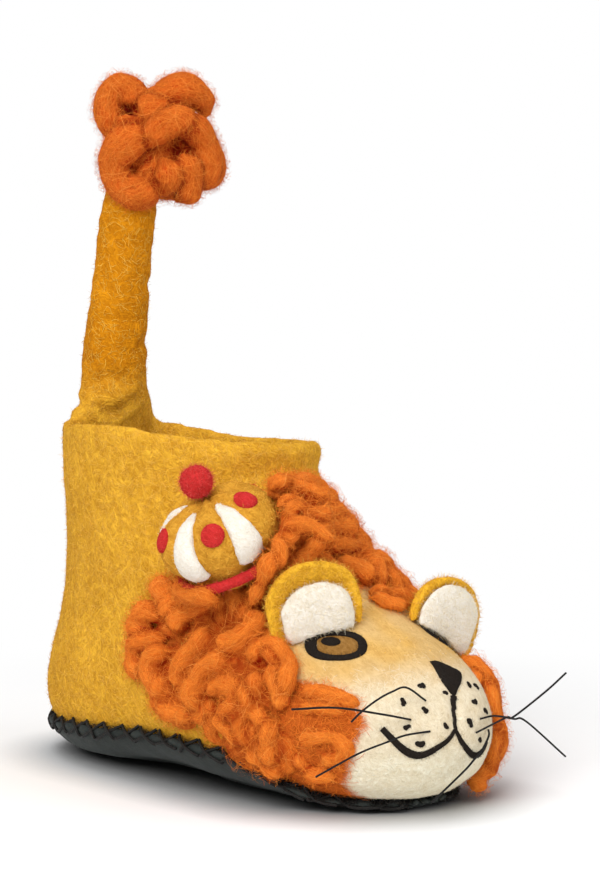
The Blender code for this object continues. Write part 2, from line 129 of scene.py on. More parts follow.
def newGroup(name, inputs, outputs):
    group = bpy.data.node_groups.new(name, "ShaderNodeTree")
    for label, kind, value in inputs:
        socket = group.interface.new_socket(label, in_out="INPUT", socket_type=kind)
        socket.default_value = value
    for label, kind in outputs:
        group.interface.new_socket(label, in_out="OUTPUT", socket_type=kind)
    return group, addNode(group, "NodeGroupInput"), addNode(group, "NodeGroupOutput")


def noiseAt(tree, vector, scale, detail=2.0, rough=0.5, low=0.3, high=0.7, curl=0.0):
    texture = addNode(tree, "ShaderNodeTexNoise",
                      {"Scale": scale, "Detail": detail, "Roughness": rough, "Distortion": curl})
    feed(tree, vector, texture.inputs["Vector"])
    spread = addNode(tree, "ShaderNodeMapRange", {"From Min": low, "From Max": high})
    feed(tree, texture.outputs["Fac"], spread.inputs["Value"])
    return spread.outputs["Result"]


colour = "NodeSocketColor"
number = "NodeSocketFloat"
surface = [("Colour", colour), ("Height", number)]  # what every group puts out


def makeFeltGroup():  # short fibres lying every way in a felted face
    inputs = [("Colour", colour, (1, 1, 1, 1)), ("Contrast", number, 0.5), ("Grain", number, 900.0)]
    group, enter, leave = newGroup("feltGrain", inputs, surface)
    spots = addNode(group, "ShaderNodeTexCoord").outputs["Object"]
    fibre = None
    for turn in ((0.3, 0.2, 0.0), (1.3, 0.4, 0.8), (0.5, 1.3, 1.6), (2.0, 0.7, 2.5), (0.8, 2.3, 0.4)):
        lay = addNode(group, "ShaderNodeMapping", {"Rotation": turn, "Scale": (1.0, 4.5, 1.0)},
                      vector_type="TEXTURE")
        feed(group, spots, lay.inputs["Vector"])
        grow = addNode(group, "ShaderNodeVectorMath", operation="SCALE")
        feed(group, lay.outputs[0], grow.inputs[0])
        feed(group, enter.outputs["Grain"], grow.inputs["Scale"])
        streak = noiseAt(group, grow.outputs[0], 1.0, 2.0, 0.55, 0.5, 0.78, 0.9)
        fibre = streak if fibre is None else calculate(group, "MAXIMUM", fibre, streak)
    patch = noiseAt(group, spots, 60.0, 3.0, 0.6, 0.25, 0.75)
    mottle = noiseAt(group, spots, 260.0, 3.0, 0.65, 0.25, 0.75, 0.6)
    fine = noiseAt(group, spots, 1500.0, 3.0, 0.65)
    mask = calculate(group, "MULTIPLY_ADD", patch, 0.2, calculate(group, "MULTIPLY", fibre, 0.55))
    mask = calculate(group, "MULTIPLY_ADD", mottle, 0.35, mask)
    contrast, tint = enter.outputs["Contrast"], enter.outputs["Colour"]
    deep = mixColours(group, "MULTIPLY", contrast, tint, (0.50, 0.38, 0.16, 1))
    pale = mixColours(group, "MULTIPLY", contrast, tint, (1.30, 1.45, 1.75, 1))
    feed(group, mixColours(group, "MIX", mask, deep, pale), leave.inputs["Colour"])
    feed(group, calculate(group, "MULTIPLY_ADD", fine, 0.5, fibre), leave.inputs["Height"])
    return group


def makeRovingGroup():  # streaks along a strand of combed wool, with painted shade where strands press together and in hollows
    inputs = [(label, colour, (1, 1, 1, 1)) for label in ("GapShade", "Deep", "Colour", "Pale")]
    group, enter, leave = newGroup("rovingStreaks", inputs, surface)
    spots = addNode(group, "ShaderNodeAttribute", attribute_name="strandSpot").outputs["Vector"]
    shade = addNode(group, "ShaderNodeAttribute", attribute_name="strandShade").outputs["Fac"]
    broad = noiseAt(group, spots, 0.55, 3.0, 0.6, 0.28, 0.72)
    thin = noiseAt(group, spots, 2.1, 4.0, 0.7, 0.25, 0.75)
    body = mixColours(group, "MIX", broad, enter.outputs["Deep"], enter.outputs["Colour"])
    lit = mixColours(group, "MIX", calculate(group, "POWER", thin, 2.2), body, enter.outputs["Pale"])
    # painted shade: the gap colour takes over where strandShade is low, in seams and hollows
    feed(group, mixColours(group, "MIX", shade, enter.outputs["GapShade"], lit), leave.inputs["Colour"])
    feed(group, calculate(group, "MULTIPLY_ADD", broad, 0.6, thin), leave.inputs["Height"])
    return group


def makeThreadGroup():  # fine plies of a spun thread
    inputs = [(label, colour, (1, 1, 1, 1)) for label in ("Dark", "Light")]
    group, enter, leave = newGroup("threadPly", inputs, surface)
    ply = noiseAt(group, addNode(group, "ShaderNodeTexCoord").outputs["Object"], 2600.0, 2.0, 0.6)
    tone = mixColours(group, "MIX", ply, enter.outputs["Dark"], enter.outputs["Light"])
    feed(group, tone, leave.inputs["Colour"])
    feed(group, ply, leave.inputs["Height"])
    return group


feltGroup = makeFeltGroup()
rovingGroup = makeRovingGroup()
threadGroup = makeThreadGroup()


def newMaterial(name, rough, sheen, sheenTint, specular=0.05):
    material = bpy.data.materials.new(name)
    material.use_nodes = True
    shader = material.node_tree.nodes["Principled BSDF"]
    shader.inputs["Roughness"].default_value = rough
    shader.inputs["Specular IOR Level"].default_value = specular
    shader.inputs["Sheen Weight"].default_value = sheen
    shader.inputs["Sheen Roughness"].default_value = 0.45
    shader.inputs["Sheen Tint"].default_value = (*sheenTint, 1)
    return material, material.node_tree, shader


def bumpInto(tree, shader, height, strength, depth):
    bump = addNode(tree, "ShaderNodeBump", {"Strength": strength, "Distance": depth * mm})
    feed(tree, height, bump.inputs["Height"])
    feed(tree, bump.outputs[0], shader.inputs["Normal"])


def makeFelt(name, tint, contrast=0.9, grain=720.0, bump=0.5, sheen=0.03, attribute=None):
    material, tree, shader = newMaterial(name, 0.95, sheen, tint)
    felt = addNode(tree, "ShaderNodeGroup", node_tree=feltGroup)
    felt.inputs["Contrast"].default_value = contrast
    felt.inputs["Grain"].default_value = grain
    felt.inputs["Colour"].default_value = (*tint, 1)
    if attribute:
        tone = addNode(tree, "ShaderNodeAttribute", attribute_name=attribute)
        feed(tree, tone.outputs["Color"], felt.inputs["Colour"])
        feed(tree, tone.outputs["Alpha"], felt.inputs["Contrast"])
    feed(tree, felt.outputs["Colour"], shader.inputs["Base Color"])
    bumpInto(tree, shader, felt.outputs["Height"], bump, 0.8)
    return material


# gap is the colour of the painted shade in the seams and hollows of the wool
def makeRoving(name, gap, deep, tint, pale):
    material, tree, shader = newMaterial(name, 0.85, 0.03, (1.0, 0.4, 0.1), 0.05)
    wool = addNode(tree, "ShaderNodeGroup", node_tree=rovingGroup)
    for label, value in (("GapShade", gap), ("Deep", deep), ("Colour", tint), ("Pale", pale)):
        wool.inputs[label].default_value = (*value, 1)
    feed(tree, wool.outputs["Colour"], shader.inputs["Base Color"])
    bumpInto(tree, shader, wool.outputs["Height"], 0.7, 0.5)
    return material


# fuzz colours side by side along the fibres' own map: dark to light for each wool
fuzzWools = {
    "mustard": (0.01, 0.14, (0.36, 0.135, 0.004), (0.98, 0.60, 0.10)),
    "cream": (0.18, 0.31, (0.66, 0.55, 0.35), (0.92, 0.85, 0.68)),
    "orange": (0.35, 0.48, (0.34, 0.018, 0.001), (0.94, 0.29, 0.036)),
    "stray": (0.52, 0.65, (0.50, 0.08, 0.007), (0.96, 0.38, 0.07)),
    "red": (0.69, 0.82, (0.36, 0.012, 0.012), (0.80, 0.12, 0.10)),
    "black": (0.86, 0.99, (0.006, 0.005, 0.005), (0.045, 0.04, 0.036)),
}


def makeFuzzMaterial():
    material, tree, shader = newMaterial("woolFuzz", 0.8, 0.0, (1, 1, 1), 0.05)
    spot = addNode(tree, "ShaderNodeUVMap", uv_map="OFBake")
    split = addNode(tree, "ShaderNodeSeparateXYZ")
    feed(tree, spot.outputs[0], split.inputs[0])
    ramp = addNode(tree, "ShaderNodeValToRGB")
    stops = ramp.color_ramp.elements
    for low, high, dark, light in fuzzWools.values():
        for position, tint in ((low, dark), (high, light)):
            stops.new(position).color = (*tint, 1)
    stops.remove(stops[0])
    stops.remove(stops[-1])
    feed(tree, split.outputs["X"], ramp.inputs[0])
    feed(tree, ramp.outputs[0], shader.inputs["Base Color"])
    return material


fuzzMaterial = makeFuzzMaterial()
print("materials ready")


def meshPiece(name, points, faces, material, nodes=()):
    mesh = bpy.data.meshes.new(name)
    mesh.vertices.add(len(points))
    mesh.vertices.foreach_set("co", np.asarray(points, np.float32).ravel())
    faces = [np.asarray(group) for group in faces if len(group)]
    corners = np.concatenate([group.ravel() for group in faces]).astype(np.int32)
    counts = np.concatenate([np.full(len(group), group.shape[1]) for group in faces])
    mesh.loops.add(len(corners))
    mesh.loops.foreach_set("vertex_index", corners)
    mesh.polygons.add(len(counts))
    mesh.polygons.foreach_set("loop_start", (np.cumsum(counts) - counts).astype(np.int32))
    mesh.update(calc_edges=True)
    mesh.shade_smooth()
    mesh.materials.append(material)
    piece = bpy.data.objects.new(name, mesh)
    scene.collection.objects.link(piece)
    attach(piece, shoe["body"])
    if nodes:
        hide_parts(*nodes)
    return piece


# whiskers: waxed black threads, the same routes as their solids
whiskers = {
    "diameter": 0.6, "points": 30, "tint": (0.006, 0.005, 0.005),
    "routes": {
        "lateral_top": [(-8.2, 160.9, 33.2), (-15.6, 160.6, 37.7), (-20.9, 160.4, 37.2),
                        (-26.8, 160.8, 35.9), (-32.8, 160.8, 33.5), (-37.5, 161.0, 31.0)],
        "lateral_middle": [(-14.1, 160.8, 28.6), (-25.0, 160.0, 31.4), (-40.4, 158.0, 34.8),
                           (-54.0, 155.0, 35.7)],
        "lateral_low": [(-9.7, 164.0, 25.2), (-18.5, 163.0, 25.1), (-24.6, 162.0, 23.9),
                        (-34.0, 160.0, 21.6), (-46.0, 156.0, 16.4)],
        "medial_middle": [(9.6, 165.2, 26.4), (14.7, 166.0, 26.7), (22.9, 166.0, 24.8),
                          (28.2, 166.0, 23.4), (47.9, 164.0, 10.3)],
        "medial_top": [(7.0, 166.0, 22.9), (16.2, 169.0, 26.4), (19.5, 169.0, 26.3),
                       (34.6, 168.0, 31.7), (45.5, 166.0, 35.4)],
        "medial_low": [(13.2, 165.0, 22.9), (12.5, 165.8, 21.2), (8.7, 166.8, 17.9),
                       (5.0, 167.2, 15.8), (0.7, 167.2, 13.0), (-11.5, 166.5, 6.0)],
    },
}


def makeThread(name, tint):
    material, tree, shader = newMaterial(name, 0.6, 0.0, (1, 1, 1), 0.2)
    thread = addNode(tree, "ShaderNodeGroup", node_tree=threadGroup)
    for label, share in (("Dark", 0.55), ("Light", 1.5)):
        thread.inputs[label].default_value = (*[part * share for part in tint], 1)
    feed(tree, thread.outputs["Colour"], shader.inputs["Base Color"])
    bumpInto(tree, shader, thread.outputs["Height"], 0.5, 0.15)
    return material


def makeWhiskers():
    wax = makeThread("waxedThread", whiskers["tint"])
    for label, route in whiskers["routes"].items():
        curve = bpy.data.curves.new("thread_" + label, "CURVE")
        curve.dimensions = "3D"
        curve.bevel_depth = whiskers["diameter"] / 2 * mm
        curve.bevel_resolution = 2
        curve.use_fill_caps = True
        path = smoothRoute(places(route), whiskers["points"])
        spline = curve.splines.new("POLY")
        spline.points.add(len(path) - 1)
        for point, spot in zip(spline.points, path):
            point.co = (*spot, 1.0)
        spline.use_smooth = True
        curve.materials.append(wax)
        thread = bpy.data.objects.new("thread_" + label, curve)
        scene.collection.objects.link(thread)
        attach(thread, shoe["body"])
        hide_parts("whisker_" + label)


makeWhiskers()
print("whiskers laid")


def nodeMesh(node):
    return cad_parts[node].data


def ringMesh(rings):  # closed skin over a stack of rings
    bm = bmesh.new()
    grid = [[bm.verts.new(point) for point in ring] for ring in rings]
    count = len(grid[0])
    for lower, upper in zip(grid, grid[1:]):
        for i in range(count):
            bm.faces.new((lower[i], lower[(i + 1) % count], upper[(i + 1) % count], upper[i]))
    bm.faces.new(list(reversed(grid[0])))
    bm.faces.new(grid[-1])
    mesh = bpy.data.meshes.new("rings")
    bm.to_mesh(mesh)
    bm.free()
    return mesh


def feltedShape(meshes, voxel):  # one soft skin round all the meshes
    bm = bmesh.new()
    for mesh in meshes:
        bm.from_mesh(mesh)
    bmesh.ops.remove_doubles(bm, verts=bm.verts, dist=1e-6)
    mesh = bpy.data.meshes.new("draft")
    bm.to_mesh(mesh)
    bm.free()
    draft = bpy.data.objects.new("draft", mesh)
    scene.collection.objects.link(draft)
    skin = draft.modifiers.new("felted", "REMESH")
    skin.mode = "VOXEL"
    skin.voxel_size = voxel * mm
    shape = draft.evaluated_get(bpy.context.evaluated_depsgraph_get()).to_mesh()
    points = np.empty(len(shape.vertices) * 3)
    shape.vertices.foreach_get("co", points)
    corners = np.empty(len(shape.loops), np.int32)
    shape.loops.foreach_get("vertex_index", corners)
    bpy.data.objects.remove(draft)
    bpy.data.meshes.remove(mesh)
    return points.reshape(-1, 3), corners.reshape(-1, 4)


def relaxed(points, quads, rounds):  # each point drawn half way to its neighbours
    ends = np.roll(quads, -1, axis=1)
    here = np.concatenate((quads.ravel(), ends.ravel()))
    there = np.concatenate((ends.ravel(), quads.ravel()))
    count = np.bincount(here, minlength=len(points))[:, None]
    for _ in range(rounds):
        sums = np.column_stack([np.bincount(here, points[there, k], len(points)) for k in range(3)])
        points = points + (sums / count - points) / 2
    return points


def normalsOf(points, quads):
    across = np.cross(points[quads[:, 2]] - points[quads[:, 0]], points[quads[:, 3]] - points[quads[:, 1]])
    sums = np.zeros_like(points)
    for corner in range(4):
        for k in range(3):
            sums[:, k] += np.bincount(quads[:, corner], across[:, k], len(points))
    return unit(sums)


def lumps(points, size, seed):  # soft unevenness, -1 to 1
    shift = Vector((seed * 7.1, seed * 3.3, seed * 5.7))
    return np.array([noise.noise(Vector(point) / (size * mm) + shift) for point in points])


def nearRoute(points, route):  # distance to a route and how far along it
    best = np.full(len(points), 1e9)
    share = np.zeros(len(points))
    last = len(route) - 1
    for i in range(last):
        step = route[i + 1] - route[i]
        t = np.clip((points - route[i]) @ step / (step @ step), 0, 1)
        distance = np.linalg.norm(points - route[i] - t[:, None] * step, axis=1)
        closer = distance < best
        best[closer] = distance[closer]
        share[closer] = (i + t[closer]) / last
    return best, share


def treeOf(points, quads):
    return BVHTree.FromPolygons(points.tolist(), quads.tolist())


def settle(tree, point):  # nearest spot on a face, and the face's normal
    spot, normal, _, _ = tree.find_nearest(Vector(point))
    return np.array(spot), np.array(normal)


def settleAll(tree, points):  # the same for many points, with the faces' numbers
    found = [tree.find_nearest(point) for point in np.asarray(points).tolist()]
    return np.array([row[0] for row in found]), np.array([row[1] for row in found]), [row[2] for row in found]


def finderOf(points):
    finder = KDTree(len(points))
    for k, point in enumerate(points):
        finder.insert(point, k)
    finder.balance()
    return finder


def headTurn(sizes):  # degrees about the head from its top
    aside = np.abs(sizes[:, 0] - mane["middleAcross"])
    return np.degrees(np.arctan2(aside, sizes[:, 2] - mane["middleHeight"]))


feltBody = {
    "voxel": 1.35, "relax": 12, "lump": 0.55, "lumpSize": 26.0, "dimple": 0.2, "dimpleSize": 7.0,
    "rimWave": 1.0, "rimWaveSize": 22.0, "rimFrom": 92.0, "rimTop": 104.0, "rimFade": (106, 110),
    "tailDimple": 0.45, "tailDimpleSize": 5.0, "tailFrom": (106, 120), "foldLip": (0.45, 2.1),
    "roomRay": (0.5, 120), "roomWidth": 8.0, "openRay": (0.3, 40),  # start and reach of rays off the felt
    # collar rising into the tail: height, half across, middle along, half along
    "web": [(86, 8, 12, 3), (95, 14, 12.5, 5.5), (102, 16.5, 13, 7.5), (107, 14.5, 14, 9),
            (113, 11, 14.4, 10)],
    "webAcross": 3.0, "webSides": 28,
    "toeRim": (2.4, 126.0, 142.0, 4.5, 6.5),  # rise, from and to along, middle height and reach
    # fibres standing on the felt, then those lying on it, in rows for laidFuzz after their slot
    "fuzz": (22000, (0.8, 2.1)), "fuzzLean": (0.05, 0.5), "fuzzLeast": 0.03, "fibreShade": 0.6,
    "borderReach": 2.6, "creamFibres": (0.2, 0.75),
    # share of fibres left in the foot's room, and by which they are fewer or shorter elsewhere
    "roomShare": 0.1, "faceThin": 0.35, "faceShort": 0.4, "underThin": 0.9, "tailThin": 0.55,
    "laid": {
        "felt_body_laid": ("mustard_felt", 29000, (1.8, 4.2), (0.05, 0.5), 0.11, 0.5, "mustard", 13),
        "face_laid": ("natural_felt", 4000, (1.5, 3.5), (0.03, 0.3), 0.075, 0.5, "cream", 14),
        "mane_border": ("orange_wool", 3000, (2.5, 6.5), (0.2, 1.6), 0.09, 1.2, "orange", 15),
        "cheek_fuzz": ("orange_wool", 4000, (2.5, 5.0), (0.1, 0.9), 0.12, 1.0, "orange", 12),
    },
    "bulges": [((-9, 163.5, 26), 1.5, 9), ((10, 163.5, 26), 1.4, 8), ((0, 164, 11), 1.0, 11),
               ((-18.3, 135.7, 47.4), -1.2, 7), ((23, 135.7, 47.4), -1.2, 7), ((3, 150, 44), 0.8, 9)],
    # folds: route, depth and width in mm
    "folds": [([(-6, 6.5, 108.5), (-8, 12, 108), (-6.5, 18, 107), (-3, 22.5, 106)], 1.9, 1.7),
              ([(-3, 22, 106), (2, 25, 109.5), (6, 24, 112)], 1.3, 1.6),
              ([(-7.5, 15, 114.5), (-4, 20.5, 117), (1, 24, 115.5)], 1.1, 2.0),
              ([(4, 25, 126), (9, 23.5, 128.5), (13, 19, 128)], 1.0, 2.0),
              ([(9, 24, 147), (13, 20, 146), (14, 15, 147)], 0.7, 1.8),
              ([(-5, 16, 133), (-1, 23, 136), (4, 25.5, 135)], 0.5, 2.2),
              ([(-27, 74, 88), (-14, 95, 92), (4, 101, 93), (20, 92, 91), (28, 76, 88)], 1.3, 3.2),
              ([(-8, 99, 84), (8, 102, 85), (22, 92, 82), (30, 74, 79)], 1.0, 3.0),
              ([(3.1, 161.3, 33.3), (0.8, 163.7, 29.2), (-0.5, 165, 24.6)], 0.9, 1.6)],
}
tints = {
    "mustard": (0.72, 0.365, 0.028), "tail": (0.60, 0.215, 0.005), "forehead": (0.66, 0.425, 0.165),
    "muzzle": (0.76, 0.645, 0.455), "chin": (0.80, 0.73, 0.55), "cheek": (0.56, 0.115, 0.014),
    "white": (0.80, 0.74, 0.64), "red": (0.56, 0.030, 0.028), "black": (0.020, 0.015, 0.012),
    "amber": (0.30, 0.145, 0.035), "ear": (0.80, 0.42, 0.028), "crown": (0.64, 0.30, 0.030),
    "insole": (0.62, 0.48, 0.30),
}
# where the wools change on the felt, in mm along the shoe or up from the floor
zones = {
    "face": (110, 116), "faceTop": (62, 68), "muzzleTop": (31, 45), "muzzleSlope": (0.25, 150),
    "cheekHeights": (7, 14, 21, 27, 31, 34, 37, 39), "chin": (14, 24),
    "cheekFronts": (144, 148, 149.5, 151.5, 150, 145.5, 136, 118),
    "cheekSoft": (-1.6, 1.6), "browSoft": (-1, 2), "under": (2, 5), "underTop": (84, 88), "tail": (104, 124),
    "smudge": (0, 145, 45.5), "smudgeReach": 3.0, "smudgeShare": 0.6, "patchSize": 9.0, "patchShare": 0.35,
    "wander": ((6.0, 3, 1.6), (2.5, 4, 1.0)),  # lump size, seed and mm by which the borders stray
}


# mane: rear and front edge along the shoe for each turn about the head, in degrees from the top
mane = {
    "turns": (0, 30, 45, 60, 70, 80, 88, 96, 104, 112), "middleHeight": 24.0, "middleAcross": 1.5,
    "rear": (102, 92, 78, 73, 72.5, 78, 88, 106, 117, 126),
    "front": (124, 119, 117, 123, 127, 129, 130, 130.5, 130.5, 130.5),
    # locks given one by one: radius and route
    "locks": [
        (2.9, [(-29, 101, 59), (-32, 97, 56), (-33, 92, 53), (-34, 89, 50), (-34, 88, 47)]),
        (3.0, [(-33, 78, 61), (-33, 83, 58), (-33, 87, 56), (-34, 83, 52)]),
        (2.8, [(-34, 83, 51), (-34, 76, 52), (-34, 72, 49), (-34, 72, 47), (-35, 78, 46)]),
        (2.6, [(-35, 84, 45), (-35, 77, 44), (-35, 71, 41), (-36, 73, 36), (-36, 77, 34)]),
        (2.9, [(-35, 87, 42), (-36, 81, 39), (-36, 80, 35), (-37, 83, 32), (-37, 89, 29)]),
        (2.4, [(-37, 82, 29), (-37, 85, 26), (-37, 92, 25), (-37, 100, 25)]),
        (2.8, [(-33, 101, 50), (-34, 98, 44), (-35, 94, 39), (-36, 92, 35), (-36, 95, 33)]),
        (2.8, [(-37, 102, 27), (-36, 99, 31), (-36, 101, 36), (-35, 105, 40), (-34, 111, 41)]),
        (2.5, [(-36, 104, 31), (-35, 109, 34), (-35, 115, 34), (-35, 117, 31), (-36, 113, 28),
               (-36, 108, 28)]),
        (2.0, [(-29, 101, 58), (-31, 103, 54), (-32, 106, 50)]),
        (3.0, [(-26, 102, 62), (-27, 104, 59), (-28, 107, 56), (-30, 107, 53)]),
        (2.6, [(-20, 111, 63), (-24, 110, 59), (-27, 110, 55), (-30, 109, 51)]),
        (3.0, [(-26, 115, 54), (-29, 114, 50), (-31, 112, 47), (-33, 109, 46), (-33, 106, 46)]),
        (2.2, [(-32, 119, 41), (-31, 118, 44), (-29, 120, 46), (-28, 125, 44), (-29, 129, 41), (-31, 130, 36),
               (-32, 128, 33)]),
        (2.4, [(-31, 123, 41), (-31, 126, 37), (-32, 129, 33), (-33, 129, 29)]),
        (2.0, [(-30, 120, 44), (-30, 123, 43), (-31, 126, 40)]),
        (2.4, [(-32, 120, 39), (-34, 121, 35), (-34, 123, 31)]),
        (2.6, [(-33, 117, 38), (-34, 119, 34), (-35, 117, 29), (-36, 113, 25)]),
        (2.0, [(-35, 120, 19), (-36, 117, 22), (-35, 118, 27), (-35, 122, 28), (-34, 125, 26),
               (-35, 123, 21)]),
        (2.4, [(-34, 128, 27), (-34, 127, 23), (-34, 126, 19), (-33, 128, 15)]),
        (2.0, [(-35, 118, 17), (-35, 122, 15), (-33, 126, 13), (-32, 129, 11)]),
        (2.2, [(-36, 108, 26), (-36, 112, 23), (-36, 118, 19)]),
    ],
    "medialLocks": [  # beside the muzzle, down to the floor
        (2.8, [(29, 141, 40), (30, 145, 33), (29.5, 148, 26), (28, 150, 18), (25.5, 151, 11),
               (22.5, 152, 5)]),
        (2.6, [(31, 134, 36), (33, 139, 28), (33, 142, 20), (30, 145, 12), (26, 147, 5)]),
        (2.0, [(29, 143, 33), (30, 149, 30), (28, 152, 25), (28, 149, 21), (29, 145, 24)]),
        (2.0, [(29, 147, 19), (27, 152, 17), (25, 154, 12), (26, 151, 8), (28, 147, 11)]),
        (2.3, [(26, 149, 15), (23.5, 152, 10), (20.5, 154.5, 6), (17.5, 156.5, 4.5)]),
        (1.9, [(27, 146, 12), (25, 149, 7), (22, 152, 4.5), (19, 154.5, 4)]),
    ],
    # locks round the crown: turn from its front, rise and reach from its axis
    "nestLocks": [
        (2.2, [(66, 8, 19.5), (60, 4, 21), (52, 2, 21.5), (46, 3.5, 20)]),
        (2.3, [(48, 5, 19.2), (40, 0.5, 20.5), (32, -3.5, 20.5), (34, -8, 20)]),
        (2.2, [(38, 1.5, 19.3), (27, -0.5, 19.3), (19, -4.5, 18.2), (14, -9, 17.5)]),
        (2.0, [(20, -5, 17.2), (8, -7.5, 16.5), (-4, -10.5, 16)]),
        (2.0, [(54, 5, 19), (58, 5, 22.5), (68, 1, 26), (66, -5, 31)]),
        (2.3, [(70, 10, 18.5), (80, 8, 21.5), (78, 3, 26), (88, -1, 31)]),
        (2.0, [(86, 13.5, 17), (90, 14, 20.5), (100, 11, 24), (96, 5, 29), (102, 1, 33)]),
        (2.2, [(104, 12, 17.5), (110, 11, 21), (108, 8, 25), (116, 5, 29)]),
        (1.8, [(62, 7, 21), (72, 8, 23), (76, 4, 25), (68, 1, 24), (62, 3, 22.5)]),
        (1.8, [(92, 9, 22), (100, 7, 25), (104, 4, 28), (96, 3, 27), (90, 5, 24)]),
        (2.2, [(-120, -2.5, 17), (-90, -3.5, 18), (-62, -3.0, 18.2), (-42, -2.8, 18.0), (-30, -6, 17)]),
        (2.6, [(75, -2, 26), (58, -6, 25), (40, -8, 22), (24, -11, 19)]),
    ],
    "cheekLocks": [
        (1.9, [(-31, 132, 34), (-28, 137, 35), (-25, 144, 34), (-22, 150, 32)]),
        (1.8, [(-32, 133, 30), (-29, 140, 31), (-25, 147, 30)]),
        (1.9, [(-32, 134, 21), (-30, 140, 23), (-28, 145, 23), (-26, 148, 20), (-28, 145, 17),
               (-30, 141, 18)]),
        (1.9, [(-31, 134, 14), (-29, 139, 12), (-26, 145, 12)]),
        (1.7, [(-32, 133, 18), (-31, 136, 14), (-29, 141, 9)]),
    ],
    "topLocks": [
        (3.0, [(-11, 100, 86), (-2, 101, 88), (3, 101, 88), (9, 101, 86)]),
        (2.8, [(17, 98, 82), (12, 100, 83), (2, 103, 81), (-4, 104, 80)]),
        (2.6, [(26, 101, 74), (19, 102, 77), (11, 103, 79), (2, 105, 78), (-4, 105, 77)]),
        (3.0, [(17, 106, 74), (8, 107, 75), (-1, 108, 74), (-7, 108, 72)]),
        (2.2, [(20, 108, 68), (15, 109, 69), (5, 112, 70), (-1, 112, 69)]),
        (2.8, [(-8, 105, 76), (-11, 106, 73), (-15, 106, 71), (-19, 105, 68)]),
        (3.2, [(15, 114, 66), (19, 113, 66), (24, 113, 64), (28, 115, 60), (31, 118, 55)]),
        (2.8, [(14, 115, 64), (13, 119, 61), (12, 124, 59)]),
        (2.6, [(26, 118, 58), (25, 122, 55), (24, 127, 52)]),
        (2.4, [(19, 117, 62), (19, 121, 60), (20, 126, 56)]),
        (2.0, [(4, 126, 58), (10, 127, 57), (16, 128, 55), (19, 131, 52), (17, 135, 50)]),
        (1.8, [(2, 128, 57), (7, 131, 55), (12, 134, 53)]),
        (2.8, [(0, 116, 67), (5, 119, 64), (8, 123, 60)]),
        (2.6, [(-9, 112, 70), (-5, 117, 66), (0, 122, 61)]),
        (3.0, [(24, 96, 78), (28, 92, 72), (32, 88, 66), (34, 86, 60)]),
        (2.8, [(20, 104, 74), (26, 101, 68), (31, 98, 62), (33, 96, 57)]),
        (2.8, [(27, 88, 76), (31, 83, 70), (34, 79, 63), (35, 78, 57)]),
        (2.8, [(26, 108, 66), (30, 105, 61), (32, 103, 56)]),
    ],
    "fillers": 120, "curlRadius": (4.0, 6.0), "curlStrand": (2.4, 3.0), "sides": 12, "seed": 21,
    # curls between the locks: degrees on the sides, share there, spots along, rounds, shrink, tilt and depth
    "curlTurns": (28, 106), "curlSides": 0.85, "curlAlong": (0.1, 0.9), "curlRounds": (0.7, 1.1),
    "curlSteps": 26, "curlShrink": 0.25, "curlTilt": 0.6, "curlSunk": 0.5,
    # locks: steps to a spot, their waves up and down, radii that they rise by, and how their ends sink
    "lockSteps": 12, "lockWave": 0.5, "waveSteps": 4, "lockRise": 0.6, "endSunk": 1.6, "endSteps": 9,
    # the groups of locks, mm that each is lifted, and whether it is on both sides
    "groups": [("locks", 0.9, True), ("cheekLocks", -0.9, True), ("topLocks", 0.9, False),
               ("medialLocks", 1.0, False)],
    "swell": 1.15, "uneven": 0.12, "ridge": 0.03, "lockTip": 4.0, "curlTip": 6.0,
    "deep": 9.0, "buried": 1.2, "bare": -0.3,  # mm below the felt: its lining, wool left out, open wool
    "skin": {"voxel": 0.68, "relax": 2, "reach": 5.0, "crease": 0.15},
    # painted shade colour for the gaps, then deep, plain and pale wool
    "wool": ((0.38, 0.016, 0.001), (0.58, 0.064, 0.004), (0.84, 0.190, 0.015), (0.98, 0.41, 0.068)),
    "laid": {
        "mane_combed": (16000, (3.0, 7.0), (0.05, 0.4), 0.11, 0.2, "orange", 24),
        "mane_fuzz": (11000, (3.5, 8.0), (0.5, 2.4), 0.075, 1.2, "orange", 22),
        "mane_strays": (1500, (5.0, 10.0), (0.6, 2.4), 0.085, 1.5, "stray", 25),
    },
}


def faceTints(points, outer):  # colour of the felt at each point, and how much of each wool is there
    sizes = shoeSizes(points)
    wander = sum(lumps(points, size, seed) * stray for size, seed, stray in zones["wander"])
    along, height = sizes[:, 1] + wander, sizes[:, 2] + wander * 0.6
    face = ease(*zones["face"], along) * (1 - ease(*zones["faceTop"], height)) * outer
    slope, slopeFrom = zones["muzzleSlope"]
    muzzle = 1 - ease(*zones["muzzleTop"], height + slope * (slopeFrom - along))
    border = np.interp(height, zones["cheekHeights"], zones["cheekFronts"])
    cheek = 1 - ease(*zones["cheekSoft"], along - border)
    patchy = ease(-0.1, 0.5, lumps(points, zones["patchSize"], 6))
    away = np.linalg.norm(sizes - np.array(zones["smudge"]), axis=1)
    smudge = np.exp(-(away / zones["smudgeReach"]) ** 2) * zones["smudgeShare"]
    turn = headTurn(sizes)
    brow = np.interp(turn, mane["turns"], mane["front"])
    cheek = np.maximum(cheek, 1 - ease(*zones["browSoft"], along - brow))
    under = ease(*zones["under"], along - np.interp(turn, mane["turns"], mane["rear"]))
    under = under * (1 - ease(*zones["underTop"], height)) * outer

    def blend(first, second, share):
        return np.asarray(first) * (1 - share[:, None]) + np.asarray(second) * share[:, None]

    plain = blend(tints["mustard"], tints["tail"], ease(*zones["tail"], sizes[:, 2]))
    plain = blend(plain, tints["cheek"], under)
    cream = blend(tints["muzzle"], tints["chin"], 1 - ease(*zones["chin"], height))
    front = blend(tints["forehead"], cream, muzzle)
    front = blend(front, tints["mustard"], np.maximum(patchy * (1 - muzzle) * zones["patchShare"], smudge))
    front = blend(front, tints["cheek"], cheek)
    contrast = 0.95 - 0.5 * face * (1 - cheek)
    return blend(plain, front, face), contrast, face, muzzle * (1 - cheek), cheek, under


